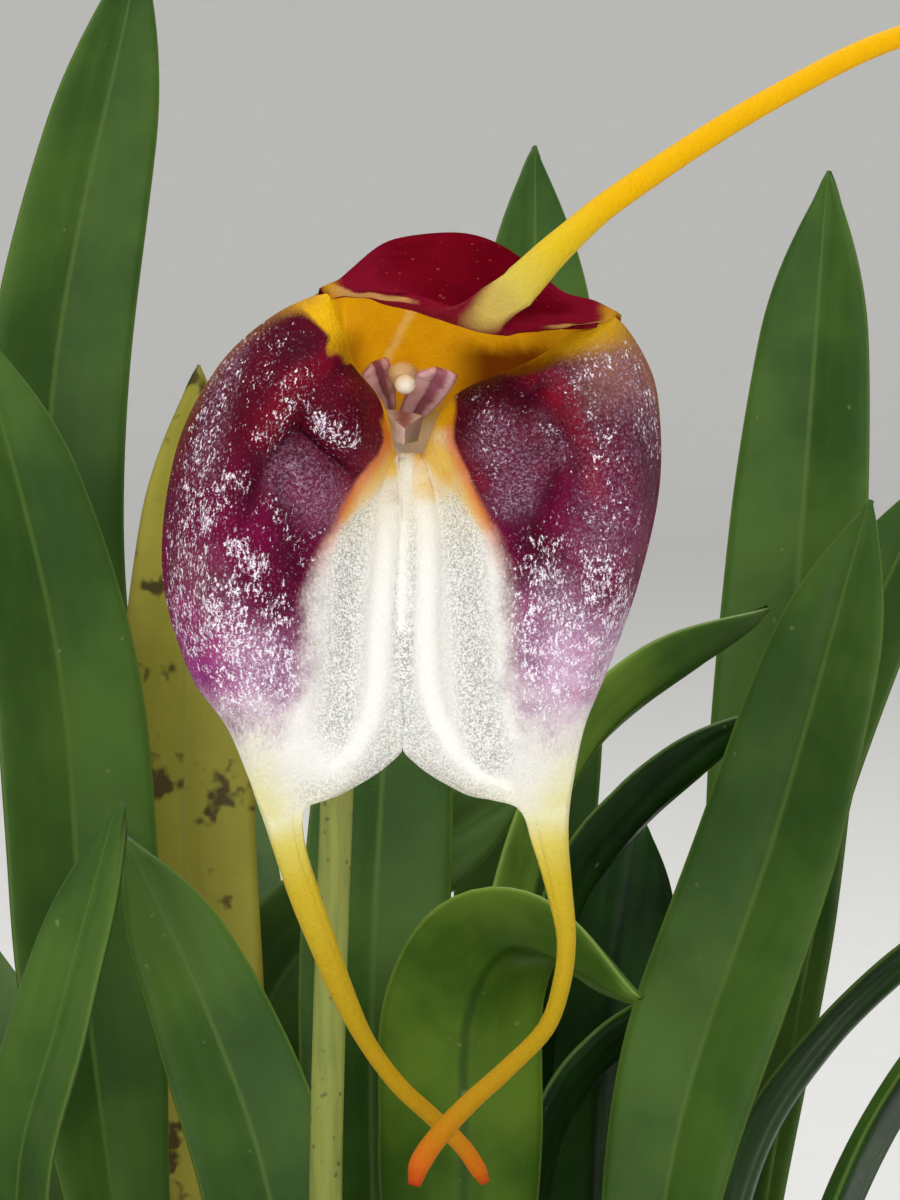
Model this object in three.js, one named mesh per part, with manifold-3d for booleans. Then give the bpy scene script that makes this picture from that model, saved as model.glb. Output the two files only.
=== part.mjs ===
// A potted Masdevallia schroederiana: a clay pot of bark mix, leathery one-leaf shoots and one tailed bloom.
// Millimetres, +Z up. The origin is the middle of the pot's foot and the bloom faces -Y.
import * as THREE from 'three';
import { ConvexGeometry } from 'three/addons/geometries/ConvexGeometry.js';
import { mergeGeometries, mergeVertices } from 'three/addons/utils/BufferGeometryUtils.js';
import Module from 'manifold-3d';

const wasm = await Module();
wasm.setup();

// Driving sizes
const GAP = 0.3;
const POT = { height: 80, foot: 31, shoulder: 41, rim: 46, band: 17, wall: 4.5, floor: 6, sides: 32 };
const DRAINS = { count: 3, radius: 4, ring: 15 };
const MIX = { top: 72, crown: 3, bump: 0.9, rings: 5 };
const CANE = { sunk: 9, height: 32, foot: 1.7, top: 1.25, sides: 6, steps: 3 };
const RHIZOME = { height: 77, radius: 1.4 };
const LEAF = { thick: 1.1, petiole: 1.4, widest: 0.6, across: 4, along: 8 };
const SCAPE = { radius: 1.1, sides: 8 };
const BLOOM = new THREE.Vector3(-3, -45, 200);
const SEPAL = { thick: 0.9, across: 3, along: 2 };

// Colours and finishes
const clay = { color: 0xb4643c, roughness: 0.85 };
const bark = { color: 0x4a3423, roughness: 0.95 };
const cane = { color: 0x4b3a26, roughness: 0.7 };
const leafGreen = { color: 0x2f5a22, roughness: 0.38 };
const oldLeaf = { color: 0x8c8f2c, roughness: 0.45 };
const scapeGreen = { color: 0x8f9c45, roughness: 0.5 };
const bractStraw = { color: 0xb9a77a, roughness: 0.8 };
const sepalPurple = { color: 0x9c2f63, roughness: 0.35 };
const petalPink = { color: 0xb98aa0, roughness: 0.4 };
const columnCream = { color: 0xe6d9b0, roughness: 0.4 };

const object = new THREE.Group();

function add(name, geometry, finish) {
  const mesh = new THREE.Mesh(geometry, new THREE.MeshStandardMaterial({ metalness: 0, ...finish }));
  mesh.name = name;
  object.add(mesh);
  return mesh;
}

// Solids for the joins and cuts
function bare(geometry) {
  const copy = geometry.clone();
  for (const name of ['normal', 'uv', 'half']) copy.deleteAttribute(name);
  return mergeVertices(copy, 1e-4);
}

function solid(geometry) {
  const g = bare(geometry);
  const vertProperties = new Float32Array(g.attributes.position.array);
  const triVerts = new Uint32Array(g.index.array);
  return new wasm.Manifold(new wasm.Mesh({ numProp: 3, vertProperties, triVerts }));
}

function surface(manifold) {
  const mesh = manifold.getMesh();
  const g = new THREE.BufferGeometry();
  g.setAttribute('position', new THREE.BufferAttribute(new Float32Array(mesh.vertProperties), 3));
  g.setIndex(new THREE.BufferAttribute(new Uint32Array(mesh.triVerts), 1));
  return g;
}

// Shaping helpers
const mix = THREE.MathUtils.lerp;
const rise = THREE.MathUtils.smoothstep;
const radians = THREE.MathUtils.degToRad;
const at = (x, y, z) => new THREE.Vector3(x, y, z);
const bell = (x, middle, spread) => Math.exp(-(((x - middle) / spread) ** 2));

// The point at row t of a smooth line through the points.
function along(points, t) {
  const line = new THREE.CatmullRomCurve3(points, false, 'catmullrom', 0.5);
  return line.getPoint(t / (points.length - 1));
}

// A PlaneGeometry whose vertices are moved to at(u, v), with half its local thickness kept beside each.
function sheet(across, rows, at, halfAt) {
  const g = new THREE.PlaneGeometry(1, 1, across, rows);
  const position = g.attributes.position;
  const half = new Float32Array(position.count);
  for (let i = 0; i < position.count; i++) {
    const u = position.getX(i) + 0.5;
    const v = position.getY(i) + 0.5;
    const p = at(u, v);
    position.setXYZ(i, p.x, p.y, p.z);
    half[i] = halfAt(u, v);
  }
  g.setAttribute('half', new THREE.BufferAttribute(half, 1));
  g.deleteAttribute('uv');
  g.deleteAttribute('normal');
  return g;
}

// Gives joined sheets their thickness: both faces stand half of it off the middle, and free edges are closed.
function thicken(sheets) {
  const middle = mergeVertices(mergeGeometries(sheets), 1e-3);
  middle.computeVertexNormals();
  const { position, normal, half } = middle.attributes;
  const count = position.count;
  const points = [];
  for (const side of [1, -1]) {
    for (let i = 0; i < count; i++) {
      const p = new THREE.Vector3().fromBufferAttribute(position, i);
      const n = new THREE.Vector3().fromBufferAttribute(normal, i);
      points.push(p.addScaledVector(n, side * half.getX(i)));
    }
  }
  const faces = [];
  const edges = new Map();
  const index = middle.index.array;
  for (let f = 0; f < index.length; f += 3) {
    const [a, b, c] = [index[f], index[f + 1], index[f + 2]];
    if (a === b || b === c || c === a) continue;
    faces.push(a, b, c, c + count, b + count, a + count);
    for (const [p, q] of [[a, b], [b, c], [c, a]]) {
      if (edges.has(`${q},${p}`)) edges.delete(`${q},${p}`);
      else edges.set(`${p},${q}`, [p, q]);
    }
  }
  for (const [p, q] of edges.values()) faces.push(q, p, p + count, q, p + count, q + count);
  return new THREE.BufferGeometry().setFromPoints(points).setIndex(faces);
}

// A closed tube of round section about place(t), its radius radiusAt(t), for t from 0 to 1
function tube(place, radiusAt, sides, steps) {
  const run = (t) => place(Math.min(1, t + 0.01)).sub(place(Math.max(0, t - 0.01))).normalize();
  const ends = [run(0), run(0.5), run(1)];
  const clash = (axis) => Math.max(...ends.map((tangent) => Math.abs(tangent.dot(axis))));
  const reference = [at(1, 0, 0), at(0, 1, 0), at(0, 0, 1)].sort((a, b) => clash(a) - clash(b))[0];
  const g = new THREE.CylinderGeometry(1, 1, 1, sides, steps);
  const position = g.attributes.position;
  for (let i = 0; i < position.count; i++) {
    const t = position.getY(i) + 0.5;
    const tangent = run(t);
    const side = new THREE.Vector3().crossVectors(reference, tangent).normalize();
    const front = new THREE.Vector3().crossVectors(tangent, side);
    const p = place(t).addScaledVector(side, position.getX(i) * radiusAt(t));
    p.addScaledVector(front, -position.getZ(i) * radiusAt(t));
    position.setXYZ(i, p.x, p.y, p.z);
  }
  return surface(outward(solid(g)));
}

// The same solid with its faces pointing out.
function outward(made) {
  return made.volume() < 0 ? made.mirror([0, 0, 1]).mirror([0, 0, 1]) : made;
}

// Pot: a thrown clay wall with a rolled band, and three drain holes round a flat middle
function pot() {
  const inner = POT.wall;
  const shoulder = POT.height - POT.band;
  const profile = [
    [0, 0], [POT.foot - 1, 0], [POT.foot, 1], [POT.shoulder, shoulder], [POT.rim - 1, shoulder],
    [POT.rim, shoulder + 1.5], [POT.rim, POT.height - 1.5], [POT.rim - 1.5, POT.height],
    [POT.rim - inner, POT.height], [POT.rim - inner - 1, POT.height - 1.5],
    [POT.foot + 1.5 - inner, POT.floor], [0, POT.floor],
  ];
  const lathe = new THREE.LatheGeometry(profile.map(([r, z]) => new THREE.Vector2(r, z)), POT.sides);
  let clayBody = outward(solid(lathe.rotateX(Math.PI / 2)));
  for (let i = 0; i < DRAINS.count; i++) {
    const angle = (i * 2 * Math.PI) / DRAINS.count + Math.PI / 2;
    const hole = new THREE.CylinderGeometry(DRAINS.radius, DRAINS.radius, POT.floor * 3, 16);
    hole.rotateX(Math.PI / 2).translate(DRAINS.ring * Math.cos(angle), DRAINS.ring * Math.sin(angle), 0);
    clayBody = clayBody.subtract(solid(hole));
  }
  add('pot', surface(clayBody), clay);
}

// The pot's inside radius at a height
function bore(z) {
  const low = POT.foot + 1.5 - POT.wall;
  const high = POT.rim - POT.wall - 1;
  return mix(low, high, (z - POT.floor) / (POT.height - 1.5 - POT.floor));
}

// Potting mix: a plug that fills the pot, its top crowned and lumpy, with a hole for each stem
function pottingMix(holes) {
  const rim = bore(MIX.top) - GAP;
  const profile = [[0, POT.floor + GAP], [bore(POT.floor + GAP) - GAP, POT.floor + GAP]];
  for (let i = 0; i <= MIX.rings; i++) profile.push([rim * (1 - i / MIX.rings), MIX.top]);
  const g = new THREE.LatheGeometry(profile.map(([r, z]) => new THREE.Vector2(r, z)), POT.sides);
  g.rotateX(Math.PI / 2);
  const position = g.attributes.position;
  for (let i = 0; i < position.count; i++) {
    const [x, y, z] = [position.getX(i), position.getY(i), position.getZ(i)];
    if (z > MIX.top - 1) position.setZ(i, mixTop(x, y));
  }
  let plug = outward(solid(g));
  for (const hole of holes) plug = plug.subtract(solid(hole));
  add('potting_mix', surface(plug), bark);
}

// The height of the mix at a place
function mixTop(x, y) {
  const r = Math.hypot(x, y) / bore(MIX.top);
  const lumps = Math.sin(x * 0.52 + 1.3) * Math.cos(y * 0.61 - 0.4) + 0.5 * Math.sin(x * 1.1 - y * 0.9);
  return MIX.top + MIX.crown * (1 - r * r) + MIX.bump * lumps * (1 - r ** 6) - 1;
}

// Clumps: the shoots that rise from one length of creeping stem, in order along it. Each is a dark cane and
// one leaf. root is where the cane stands in the mix. A leaf passes the points of through, or else arches from
// its root out to its tip. face is the way its upper side looks, in degrees from +X, and width is half the
// blade's.
const CLUMPS = [
  [
    {
      root: [-5, -9], through: [[-12.2, -9, 146.8], [-16, -7, 158], [-21.8, -6, 170.6]], width: 4.7,
      face: -80,
    },
    {
      root: [0, 0], through: [[0.6, 5, 146], [1, 3, 157.5], [4, -1, 162.6], [12.2, -9.5, 160.4]], width: 6,
      face: 96, up: 0.7,
    },
    { root: [9, 1], through: [[15.5, 8, 146.2], [22.6, 11, 168], [29.2, 13, 191.3]], width: 5.6, face: -112 },
  ],
  [
    {
      root: [-19, -8], through: [[-28, -14, 148.1], [-25.2, -14, 160], [-21.4, -12, 173.8]], width: 4.2,
      face: -135,
    },
    { root: [-24.5, -6], tip: [-60, -32, 150], width: 6.4 },
    { root: [-21, -1], tip: [-66, -4, 154], width: 6.8 },
  ],
  [
    { root: [-15, 3], through: [[-25.8, 9, 156.6], [-28, 13, 180], [-34, 16, 204]], width: 6, face: -62 },
    { root: [-20, 10], tip: [-62, 38, 172], width: 6.8 },
    { root: [-24.5, 4.5], tip: [-58, 16, 188], width: 6.6 },
  ],
  [
    { root: [-8, 11], through: [[-19.6, 21, 163], [-18.7, 28, 200]], width: 5.4, face: -75, old: true },
    {
      root: [-10, 19], through: [[-14.4, 28, 150.5], [-8.5, 31, 158.7], [6, 36, 168]], width: 5.2,
      face: -100,
    },
    { root: [-16, 18], tip: [-48, 64, 158], width: 6.6 },
  ],
  [
    { root: [-1, 25], through: [[6, 52, 178], [6.5, 62, 216]], width: 6.2, face: -80 },
    { root: [-9, 26], through: [[-31, 38, 188], [-24, 45, 232]], width: 6, face: -70 },
    { root: [-16, 26], tip: [-22, 78, 168], width: 6.6 },
  ],
  [
    { root: [-3, 5], through: [[-6, 16, 150], [-4, 28, 190]], width: 5.6, face: -85 },
    { root: [3, 9.5], through: [[4, 13, 158], [9.7, 17, 173.6], [22.7, 22, 182.8]], width: 4.8, face: 160 },
    { root: [9, 9], through: [[6.5, 13, 143], [10.4, 15.5, 150.5], [21, 18, 156]], width: 4.8, face: 165 },
  ],
  [
    { root: [5, 18], through: [[8, 25, 158], [13, 29, 165.6], [24, 35, 174]], width: 4.8, face: 160 },
    { root: [10, 25], through: [[11, 33, 144.5], [14.4, 42, 164.5]], width: 5.4, face: 80 },
    { root: [17, 23], through: [[27, 50, 178], [30, 58, 214]], width: 6.2, face: -110 },
  ],
  [
    { root: [17, 16], through: [[24, 33, 160], [37, 38, 192]], width: 6, face: -130 },
    { root: [23, 12], tip: [64, 46, 160], width: 6.8 },
  ],
  [
    { root: [17, 8], through: [[21, 18, 140.6], [27, 20, 151], [42, 22, 164]], width: 5.4, face: 170 },
    { root: [23, 4], tip: [76, 12, 141], width: 6.6 },
  ],
  [
    { root: [18, -1], through: [[25, -1, 139], [34, 1, 156], [47, 3, 166]], width: 5.6, face: 175 },
    { root: [23, -6], tip: [66, -26, 150], width: 6.4 },
    { root: [13, -12], tip: [44, -50, 139], width: 6.4 },
  ],
  [
    { root: [-12, -18], tip: [-48, -50, 138], width: 6.4 },
    { root: [-4, -21], tip: [-22, -66, 124], width: 6 },
    { root: [2, -19], tip: [18, -66, 122], width: 6 },
  ],
];

// A shoot's line: from just under its cane's foot up through its neck and its leaf's points to the tip
function shootLine({ root: [x, y], through, tip }) {
  const share = (x1, y1, z, part) => new THREE.Vector3(mix(x, x1, part), mix(y, y1, part), z);
  const arch = through ?? [share(tip[0], tip[1], mix(MIX.top, tip[2], 0.7), 0.46).toArray(), tip];
  const [bx, by] = arch[0];
  const foot = new THREE.Vector3(x, y, MIX.top - CANE.sunk - GAP);
  const points = [foot, share(bx, by, MIX.top + 4, 0.06), share(bx, by, MIX.top + CANE.height, 0.34)];
  points.push(...arch.map((p) => new THREE.Vector3(...p)));
  return new THREE.CatmullRomCurve3(points, false, 'centripetal');
}

// Half the leaf's width at a share of its length: a narrow petiole, then a narrowly obovate blade
function leafHalfWidth(width, t) {
  const over = Math.max(0, (t - LEAF.widest) / (1.006 - LEAF.widest));
  return mix(LEAF.petiole, width, rise(t, 0.08, LEAF.widest)) * Math.sqrt(1 - over ** 2.3);
}

function leafGeometry(shoot, line, start) {
  const way = shoot.through ?? [shoot.tip];
  const outwards = Math.atan2(way[0][1] - shoot.root[1], way[0][0] - shoot.root[0]);
  const face = shoot.face === undefined ? outwards + Math.PI : radians(shoot.face);
  const up = shoot.up ?? (shoot.face === undefined ? 0.8 : 0.25);
  const looks = new THREE.Vector3(Math.cos(face), Math.sin(face), up);
  const place = (u, v) => {
    const t = Math.sin((v * Math.PI) / 2) * 0.5 + v * 0.5;
    const p = line.getPointAt(mix(start, 1, t));
    const tangent = line.getTangentAt(mix(start, 1, t));
    const upper = looks.clone().addScaledVector(tangent, -looks.dot(tangent)).normalize();
    const side = new THREE.Vector3().crossVectors(upper, tangent);
    const across = (2 * u - 1) * leafHalfWidth(shoot.width, t);
    const fold = radians(mix(38, 17, rise(t, 0.02, 0.5)));
    p.addScaledVector(side, across * Math.cos(fold));
    return p.addScaledVector(upper, Math.abs(across) * Math.sin(fold));
  };
  const halfAt = (u, v) => (LEAF.thick / 2) * mix(0.95, mix(1, 0.62, Math.abs(2 * u - 1)), rise(v, 0, 0.3));
  return thicken([sheet(LEAF.across, LEAF.along, place, halfAt)]);
}

// Each clump's canes, joined by their creeping stem, and its leaves. What comes back is the space it wants.
function clumps() {
  let count = 0;
  return CLUMPS.map((shoots, i) => {
    const canes = [];
    const holes = [];
    for (const shoot of shoots) {
      const line = shootLine(shoot);
      const length = line.getLength();
      const join = (CANE.sunk + GAP + CANE.height) / length;
      const on = (from, to) => (t) => line.getPointAt(mix(from, to, t));
      const radiusAt = (t) => mix(CANE.foot, CANE.top, t) * (1 + 0.12 * Math.max(0, Math.sin(t * 9)));
      canes.push(solid(tube(on(GAP / length, join), radiusAt, CANE.sides, CANE.steps)));
      const finish = shoot.old ? oldLeaf : leafGreen;
      count += 1;
      add(`leaf_${String(count).padStart(2, '0')}`, leafGeometry(shoot, line, join + GAP / length), finish);
      holes.push(tube(on(0, (CANE.sunk + 7) / length), () => CANE.foot * 1.12 + GAP, CANE.sides, 1));
    }
    const creep = new THREE.CatmullRomCurve3(shoots.map(({ root: [x, y] }) => at(x, y, RHIZOME.height)));
    const knots = (t) => RHIZOME.radius * (1 + 0.1 * Math.sin(t * 40));
    canes.push(solid(tube((t) => creep.getPoint(t), knots, 5, 2 * (shoots.length - 1))));
    add(`canes_${String(i + 1).padStart(2, '0')}`, surface(wasm.Manifold.union(canes)), cane);
    return holes;
  }).flat();
}

// Bloom. Its sepals are given in the bloom's own frame: x to the right, z up and y away from the viewer,
// from the middle of the throat's lower lip. Rows run from the ovary out to the tail's tip.
// The inflated tube behind the face: sections by depth, from the ovary forward
const TUBE = [
  { y: 15.6, x: 1.0, z: 1.5, wide: 0, high: 0 },
  { y: 14.4, x: 1.0, z: 1.6, wide: 2.6, high: 2.3 },
  { y: 10.5, x: 2.2, z: 2.9, wide: 5.5, high: 5.3 },
  { y: 6.0, x: 3.3, z: 3.8, wide: 7.3, high: 6.7 },
];

function tubeRow({ y, x, z, wide, high }, fromDegrees, toDegrees) {
  return [0, 1, 2, 3, 4].map((i) => {
    const angle = radians(mix(fromDegrees, toDegrees, i / 4));
    return at(x + wide * Math.cos(angle), y, z + high * Math.sin(angle));
  });
}

// Each row of a side sepal, from the middle seam to the outer edge: the rim of the mouth, the crown of its
// swollen lobe, four rows of the blade and the slant row where it narrows to its tail
const RIGHT_ROWS = [
  [at(0, 4, -2), at(1.7, 4, -1.8), at(3.1, 2.5, 1.4), at(7.6, 1.4, 3.5), at(12, 0.5, 6.3)],
  [at(0, 3.6, -3.3), at(2, 3.3, -3.2), at(4.4, 0.5, -1), at(8.4, -1, 2), at(13.5, 1.2, 4.3)],
  [at(0, 3, -5.3), at(2.4, 2.6, -5.2), at(5, 1, -3.9), at(10.6, -1.3, 0.2), at(14.4, 1.8, 1.6)],
  [at(0, 2.2, -9), at(2.8, 1.8, -9), at(5.7, 0.8, -7.6), at(11.4, -1.5, -4.2), at(14.5, 2.2, -3.4)],
  [at(0, 1.6, -13.5), at(3.1, 1.2, -13.2), at(6.1, 0.2, -11.8), at(10.8, -1.2, -9.3), at(13.3, 2, -8.9)],
  [at(0, 1.2, -18.1), at(3.5, 0.6, -17.1), at(6.5, 0, -15.7), at(9.8, -0.4, -14.1), at(11.5, 1.4, -13.9)],
  [at(3.4, 0.9, -20.7), at(5.3, 0.4, -19.6), at(7.2, 0, -17.9), at(9.2, 0, -17.1), at(10.3, 0.8, -16.8)],
];
const LEFT_ROWS = [
  [at(0, 4, -2), at(-0.9, 4, -1.8), at(-1.2, 2.5, 0.9), at(-3.2, 1.4, 3.5), at(-4.3, 0.5, 7.7)],
  [at(0, 3.6, -3.3), at(-1.3, 3.3, -3.1), at(-2.4, 0.5, -0.8), at(-5, -0.8, 2.4), at(-7.3, 1.2, 6.3)],
  [at(0, 3, -5.3), at(-1.7, 2.6, -4.9), at(-3.4, 1, -3.7), at(-7, -1.3, 0), at(-10.4, 1.8, 3.4)],
  [at(0, 2.2, -9), at(-2.5, 1.8, -9), at(-4.7, 0.8, -7.3), at(-8.9, -1.5, -4.5), at(-12.8, 2.2, -1.4)],
  [at(0, 1.6, -13.5), at(-2.9, 1.2, -13.2), at(-5.5, 0.2, -11.8), at(-9.9, -1.2, -9.3), at(-13.6, 2.2, -8.2)],
  [at(0, 1.2, -18.1), at(-3.6, 0.6, -17.1), at(-6.3, 0, -15.8), at(-9.8, -0.4, -14), at(-12, 1.6, -14)],
  [at(-3.3, 0.9, -20.7), at(-4.9, 0.4, -19.8), at(-6.7, 0, -18.3), at(-8.7, 0, -17.4), at(-9.9, 1, -17.2)],
];
// The top sepal's rows, from its right corner to its left: the mouth, the short free limb and the fold where
// its tail turns back up
const TOP_ROWS = [
  [at(12, 0.5, 6.3), at(9, 0.8, 7), at(4.2, 0.8, 7.6), at(-0.4, 0.9, 8.2), at(-4.3, 0.5, 7.7)],
  [at(9.4, -0.3, 5.9), at(7, -0.7, 6.2), at(4.3, -0.8, 6.6), at(1.8, -0.7, 6.9), at(-0.6, -0.5, 7.4)],
  [at(6, -1.8, 5.8), at(5.1, -2.2, 5.9), at(4.2, -2.3, 6.1), at(3.4, -2.3, 6.5), at(2.7, -2.1, 7)],
];

// Tails: x, y and z of points along the middle, each with half the width there
const TAILS = {
  right: [
    [8.0, 0.2, -21.1, 1.6], [8.4, 0, -23.4, 1.05], [8.9, -0.3, -26.1, 0.75], [9.3, -0.8, -28.9, 0.55],
    [9.0, -1.5, -31.4, 0.52], [8.1, -2.4, -33.7, 0.5], [5.9, -3.4, -35.8, 0.52], [3.7, -4.4, -37.6, 0.55],
    [2.0, -5.2, -39.3, 0.6], [1.0, -5.8, -40.7, 0.6], [0.7, -6.2, -41.8, 0.35],
  ],
  left: [
    [-7.1, 0.2, -21.5, 1.6], [-6.5, 0.2, -23.5, 0.95], [-5.6, 0.3, -26.5, 0.88], [-4.5, 0.5, -29.5, 0.8],
    [-3.4, 0.8, -32.4, 0.68], [-2.1, 1.2, -35.2, 0.52], [-0.3, 1.6, -37.8, 0.5], [1.7, 2.0, -39.8, 0.5],
    [3.4, 2.4, -41.6, 0.5], [4.3, 2.7, -43.0, 0.48], [4.7, 2.9, -43.8, 0.3],
  ],
  top: [
    [5.4, -2.8, 7.3, 1.15], [6.7, -2.5, 8.3, 1.1], [8.3, -1.8, 9.9, 0.93], [10.0, -0.9, 11.4, 0.8],
    [11.6, -0.2, 12.7, 0.74], [15.0, 1.0, 15.0, 0.7], [18.5, 2.2, 17.2, 0.67], [21.9, 3.4, 19.1, 0.65],
    [25.4, 4.8, 20.9, 0.64], [28.4, 6.0, 22.1, 0.62], [33.4, 7.8, 23.7, 0.6], [39, 9.6, 24.4, 0.58],
    [44.6, 11.4, 23.8, 0.58], [48.8, 12.6, 22.4, 0.56], [49.6, 12.8, 22, 0.3],
  ],
};

// Rows across a tail, in the order of its sepal's columns
function tailRows(points, flip) {
  const line = new THREE.CatmullRomCurve3(points.map(([x, y, z]) => at(x, y, z)));
  return points.map(([x, y, z, half], i) => {
    const run = line.getTangent(i / (points.length - 1));
    const side = at(-run.z, 0, run.x).normalize().multiplyScalar(flip * half);
    return [-1, -0.5, 0, 0.5, 1].map((s) => at(x, y, z).addScaledVector(side, s));
  });
}

const MOUTH = TUBE.length;
const NOTCH = MOUTH + 5;
const ROWS = {
  right: [...TUBE.map((s) => tubeRow(s, -90, 30)), ...RIGHT_ROWS, ...tailRows(TAILS.right, 1)],
  left: [...TUBE.map((s) => tubeRow(s, 270, 150)), ...LEFT_ROWS, ...tailRows(TAILS.left, -1)],
  top: [...TUBE.map((s) => tubeRow(s, 30, 150)), ...TOP_ROWS, ...tailRows(TAILS.top, 1)],
};

// The side sepals' relief towards the viewer: g counts the columns from the seam, r the rows from the mouth
const RELIEF = {
  right: [
    { g: 0.5, r: 3.6, spanG: 0.26, spanR: 2.8, high: 0.45 },
    { g: 2.5, r: 0.9, spanG: 0.45, spanR: 0.8, high: 0.8 },
    { g: 2.7, r: 2.6, spanG: 0.4, spanR: 0.9, high: -0.6 },
    { g: 3.3, r: 2.4, spanG: 0.35, spanR: 2.2, high: 0.45 },
  ],
  left: [
    { g: 0.5, r: 3.6, spanG: 0.26, spanR: 2.8, high: 0.45 },
    { g: 2.5, r: 0.8, spanG: 0.5, spanR: 0.7, high: 0.9 },
    { g: 2.35, r: 2.1, spanG: 0.35, spanR: 0.5, high: 0.6 },
    { g: 2.9, r: 1.9, spanG: 0.3, spanR: 1, high: -0.8 },
    { g: 3.3, r: 2.2, spanG: 0.35, spanR: 2.4, high: 0.5 },
  ],
};

// A place on a sepal's middle surface: u runs across it and row counts its rows. Up to the mouth its outer
// column is the seam that it shares with the next sepal.
function sepalPoint(which, u, row) {
  const columns = [0, 1, 2, 3, 4].map((g) => {
    const column = ROWS[which].map((points) => points[g]);
    const seam = row < MOUTH && (g === 4 || (g === 0 && which === 'top'));
    return along(seam ? column.slice(0, MOUTH + 1) : column, row);
  });
  const p = along(columns, 4 * u);
  if (which === 'top') return p;
  const lift = RELIEF[which].reduce(
    (sum, b) => sum + b.high * bell(4 * u, b.g, b.spanG) * bell(row - MOUTH, b.r, b.spanR),
    0,
  );
  p.y -= lift * rise(row, MOUTH - 1, MOUTH) * (1 - rise(u, 0.9, 1));
  if (row <= NOTCH && row >= MOUTH) p.x = which === 'right' ? Math.max(p.x, 0) : Math.min(p.x, 0);
  return p;
}

// Half the sepal's thickness: an even blade that rounds into a tail
function sepalHalf(which, u, row) {
  const tail = TAILS[which];
  const start = ROWS[which].length - tail.length;
  const [low, high] = [Math.floor(Math.max(0, row - start)), Math.ceil(Math.max(0, row - start))];
  const width = mix(tail[low][3], tail[high][3], row - Math.floor(row));
  const round = 0.2 + 0.8 * width * Math.sqrt(Math.max(0, 1 - (2 * u - 1) ** 2));
  const edge = which === 'top' ? 0 : rise(u, 0.8, 1) * rise(row, MOUTH, MOUTH + 1);
  const blade = (SEPAL.thick / 2) * (1 - 0.3 * edge);
  return mix(blade, round, rise(row, start - 0.5, start + 2));
}

// The blade has SEPAL.along steps to a row, and its tail one.
function sepalSheet(which) {
  const last = ROWS[which].length - 1;
  const blade = ROWS[which].length - TAILS[which].length;
  const steps = blade * SEPAL.along + last - blade;
  const rowAt = (v) => {
    const step = Math.round(v * steps);
    return step <= blade * SEPAL.along ? step / SEPAL.along : step - blade * (SEPAL.along - 1);
  };
  const across = (u) => (which === 'left' ? 1 - u : u);
  return sheet(
    (which === 'top' ? 2 : SEPAL.across) * 4,
    steps,
    (u, v) => sepalPoint(which, across(u), rowAt(v)),
    (u, v) => sepalHalf(which, across(u), rowAt(v)),
  );
}

function calyx() {
  const shell = thicken(['left', 'right', 'top'].map(sepalSheet));
  add('calyx', surface(outward(solid(shell))).translate(...BLOOM), sepalPurple);
}

// A flat strap with a shallow channel, along points of the bloom's frame
function strap(points, halves, thick, side) {
  const line = new THREE.CatmullRomCurve3(points);
  const position = (u, v) => {
    const tangent = line.getTangent(v);
    const across = side.clone().addScaledVector(tangent, -side.dot(tangent)).normalize();
    const behind = new THREE.Vector3().crossVectors(tangent, across);
    const w = (2 * u - 1) * along(halves.map((h) => at(h, 0, 0)), v * (halves.length - 1)).x;
    return line.getPoint(v).addScaledVector(across, w).addScaledVector(behind, -0.3 * Math.abs(w));
  };
  return thicken([sheet(4, 5, position, () => thick / 2)]);
}

// Petals: two small straps that stand out in a V behind the column's end
function petals() {
  const right = [
    at(0.2, 10.6, -0.2), at(0.5, 9.2, 0.4), at(1.15, 8.2, 1.5), at(1.65, 7.7, 2.4), at(1.95, 7.3, 3.1),
  ];
  const left = [
    at(-0.9, 10.6, 0.4), at(-1.05, 9.2, 1.2), at(-1.3, 8.4, 2), at(-1.6, 7.9, 2.8), at(-1.75, 7.6, 3.4),
  ];
  const place = (points, halves, side) => {
    const g = strap(points, halves, 0.6, side);
    return surface(outward(solid(g))).translate(...BLOOM);
  };
  add('petal_right', place(right, [0.35, 0.6, 0.68, 0.68, 0.5], at(0.9, 0, -0.4)), petalPink);
  add('petal_left', place(left, [0.35, 0.45, 0.5, 0.52, 0.42], at(0.95, 0, 0.3)), petalPink);
}

// Lip: a fleshy little block that ends in three facets below the petals
function lip() {
  const corners = [
    at(0.1, 3.4, 0), at(-1, 5.4, 0.75), at(1, 5.2, 0.5), at(0.1, 3.8, -0.95), at(-1.15, 5.6, -0.4),
    at(0.9, 5.4, -0.85), at(-0.7, 8.4, 0.15), at(0.7, 8.4, 0.1), at(-0.65, 8.6, -0.85), at(0.6, 8.6, -0.9),
  ];
  add('lip', new ConvexGeometry(corners).translate(...BLOOM), petalPink);
}

// Column: a short fleshy rod with a hooded end, and the cream cap set under the hood
function column() {
  const line = new THREE.CatmullRomCurve3([
    at(0.7, 14, 1.8), at(0.2, 10, 2.4), at(-0.1, 7, 2.75), at(-0.2, 5.3, 2.6),
  ]);
  const place = (t) => line.getPoint(t).add(BLOOM);
  const body = solid(tube(place, (t) => 0.8 * Math.sqrt(1 - 0.97 * rise(t, 0.72, 1.0) ** 2.5), 8, 8));
  const seat = new THREE.SphereGeometry(0.62 + GAP / 2, 10, 7).translate(0.12, 5.1, 2.3).translate(...BLOOM);
  add('column', surface(body.subtract(solid(seat))), columnCream);
  const cap = new THREE.SphereGeometry(0.62, 10, 7).translate(0.12, 5.1, 2.3).translate(...BLOOM);
  add('anther_cap', cap, { color: 0xf6efcf, roughness: 0.3 });
}

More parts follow.
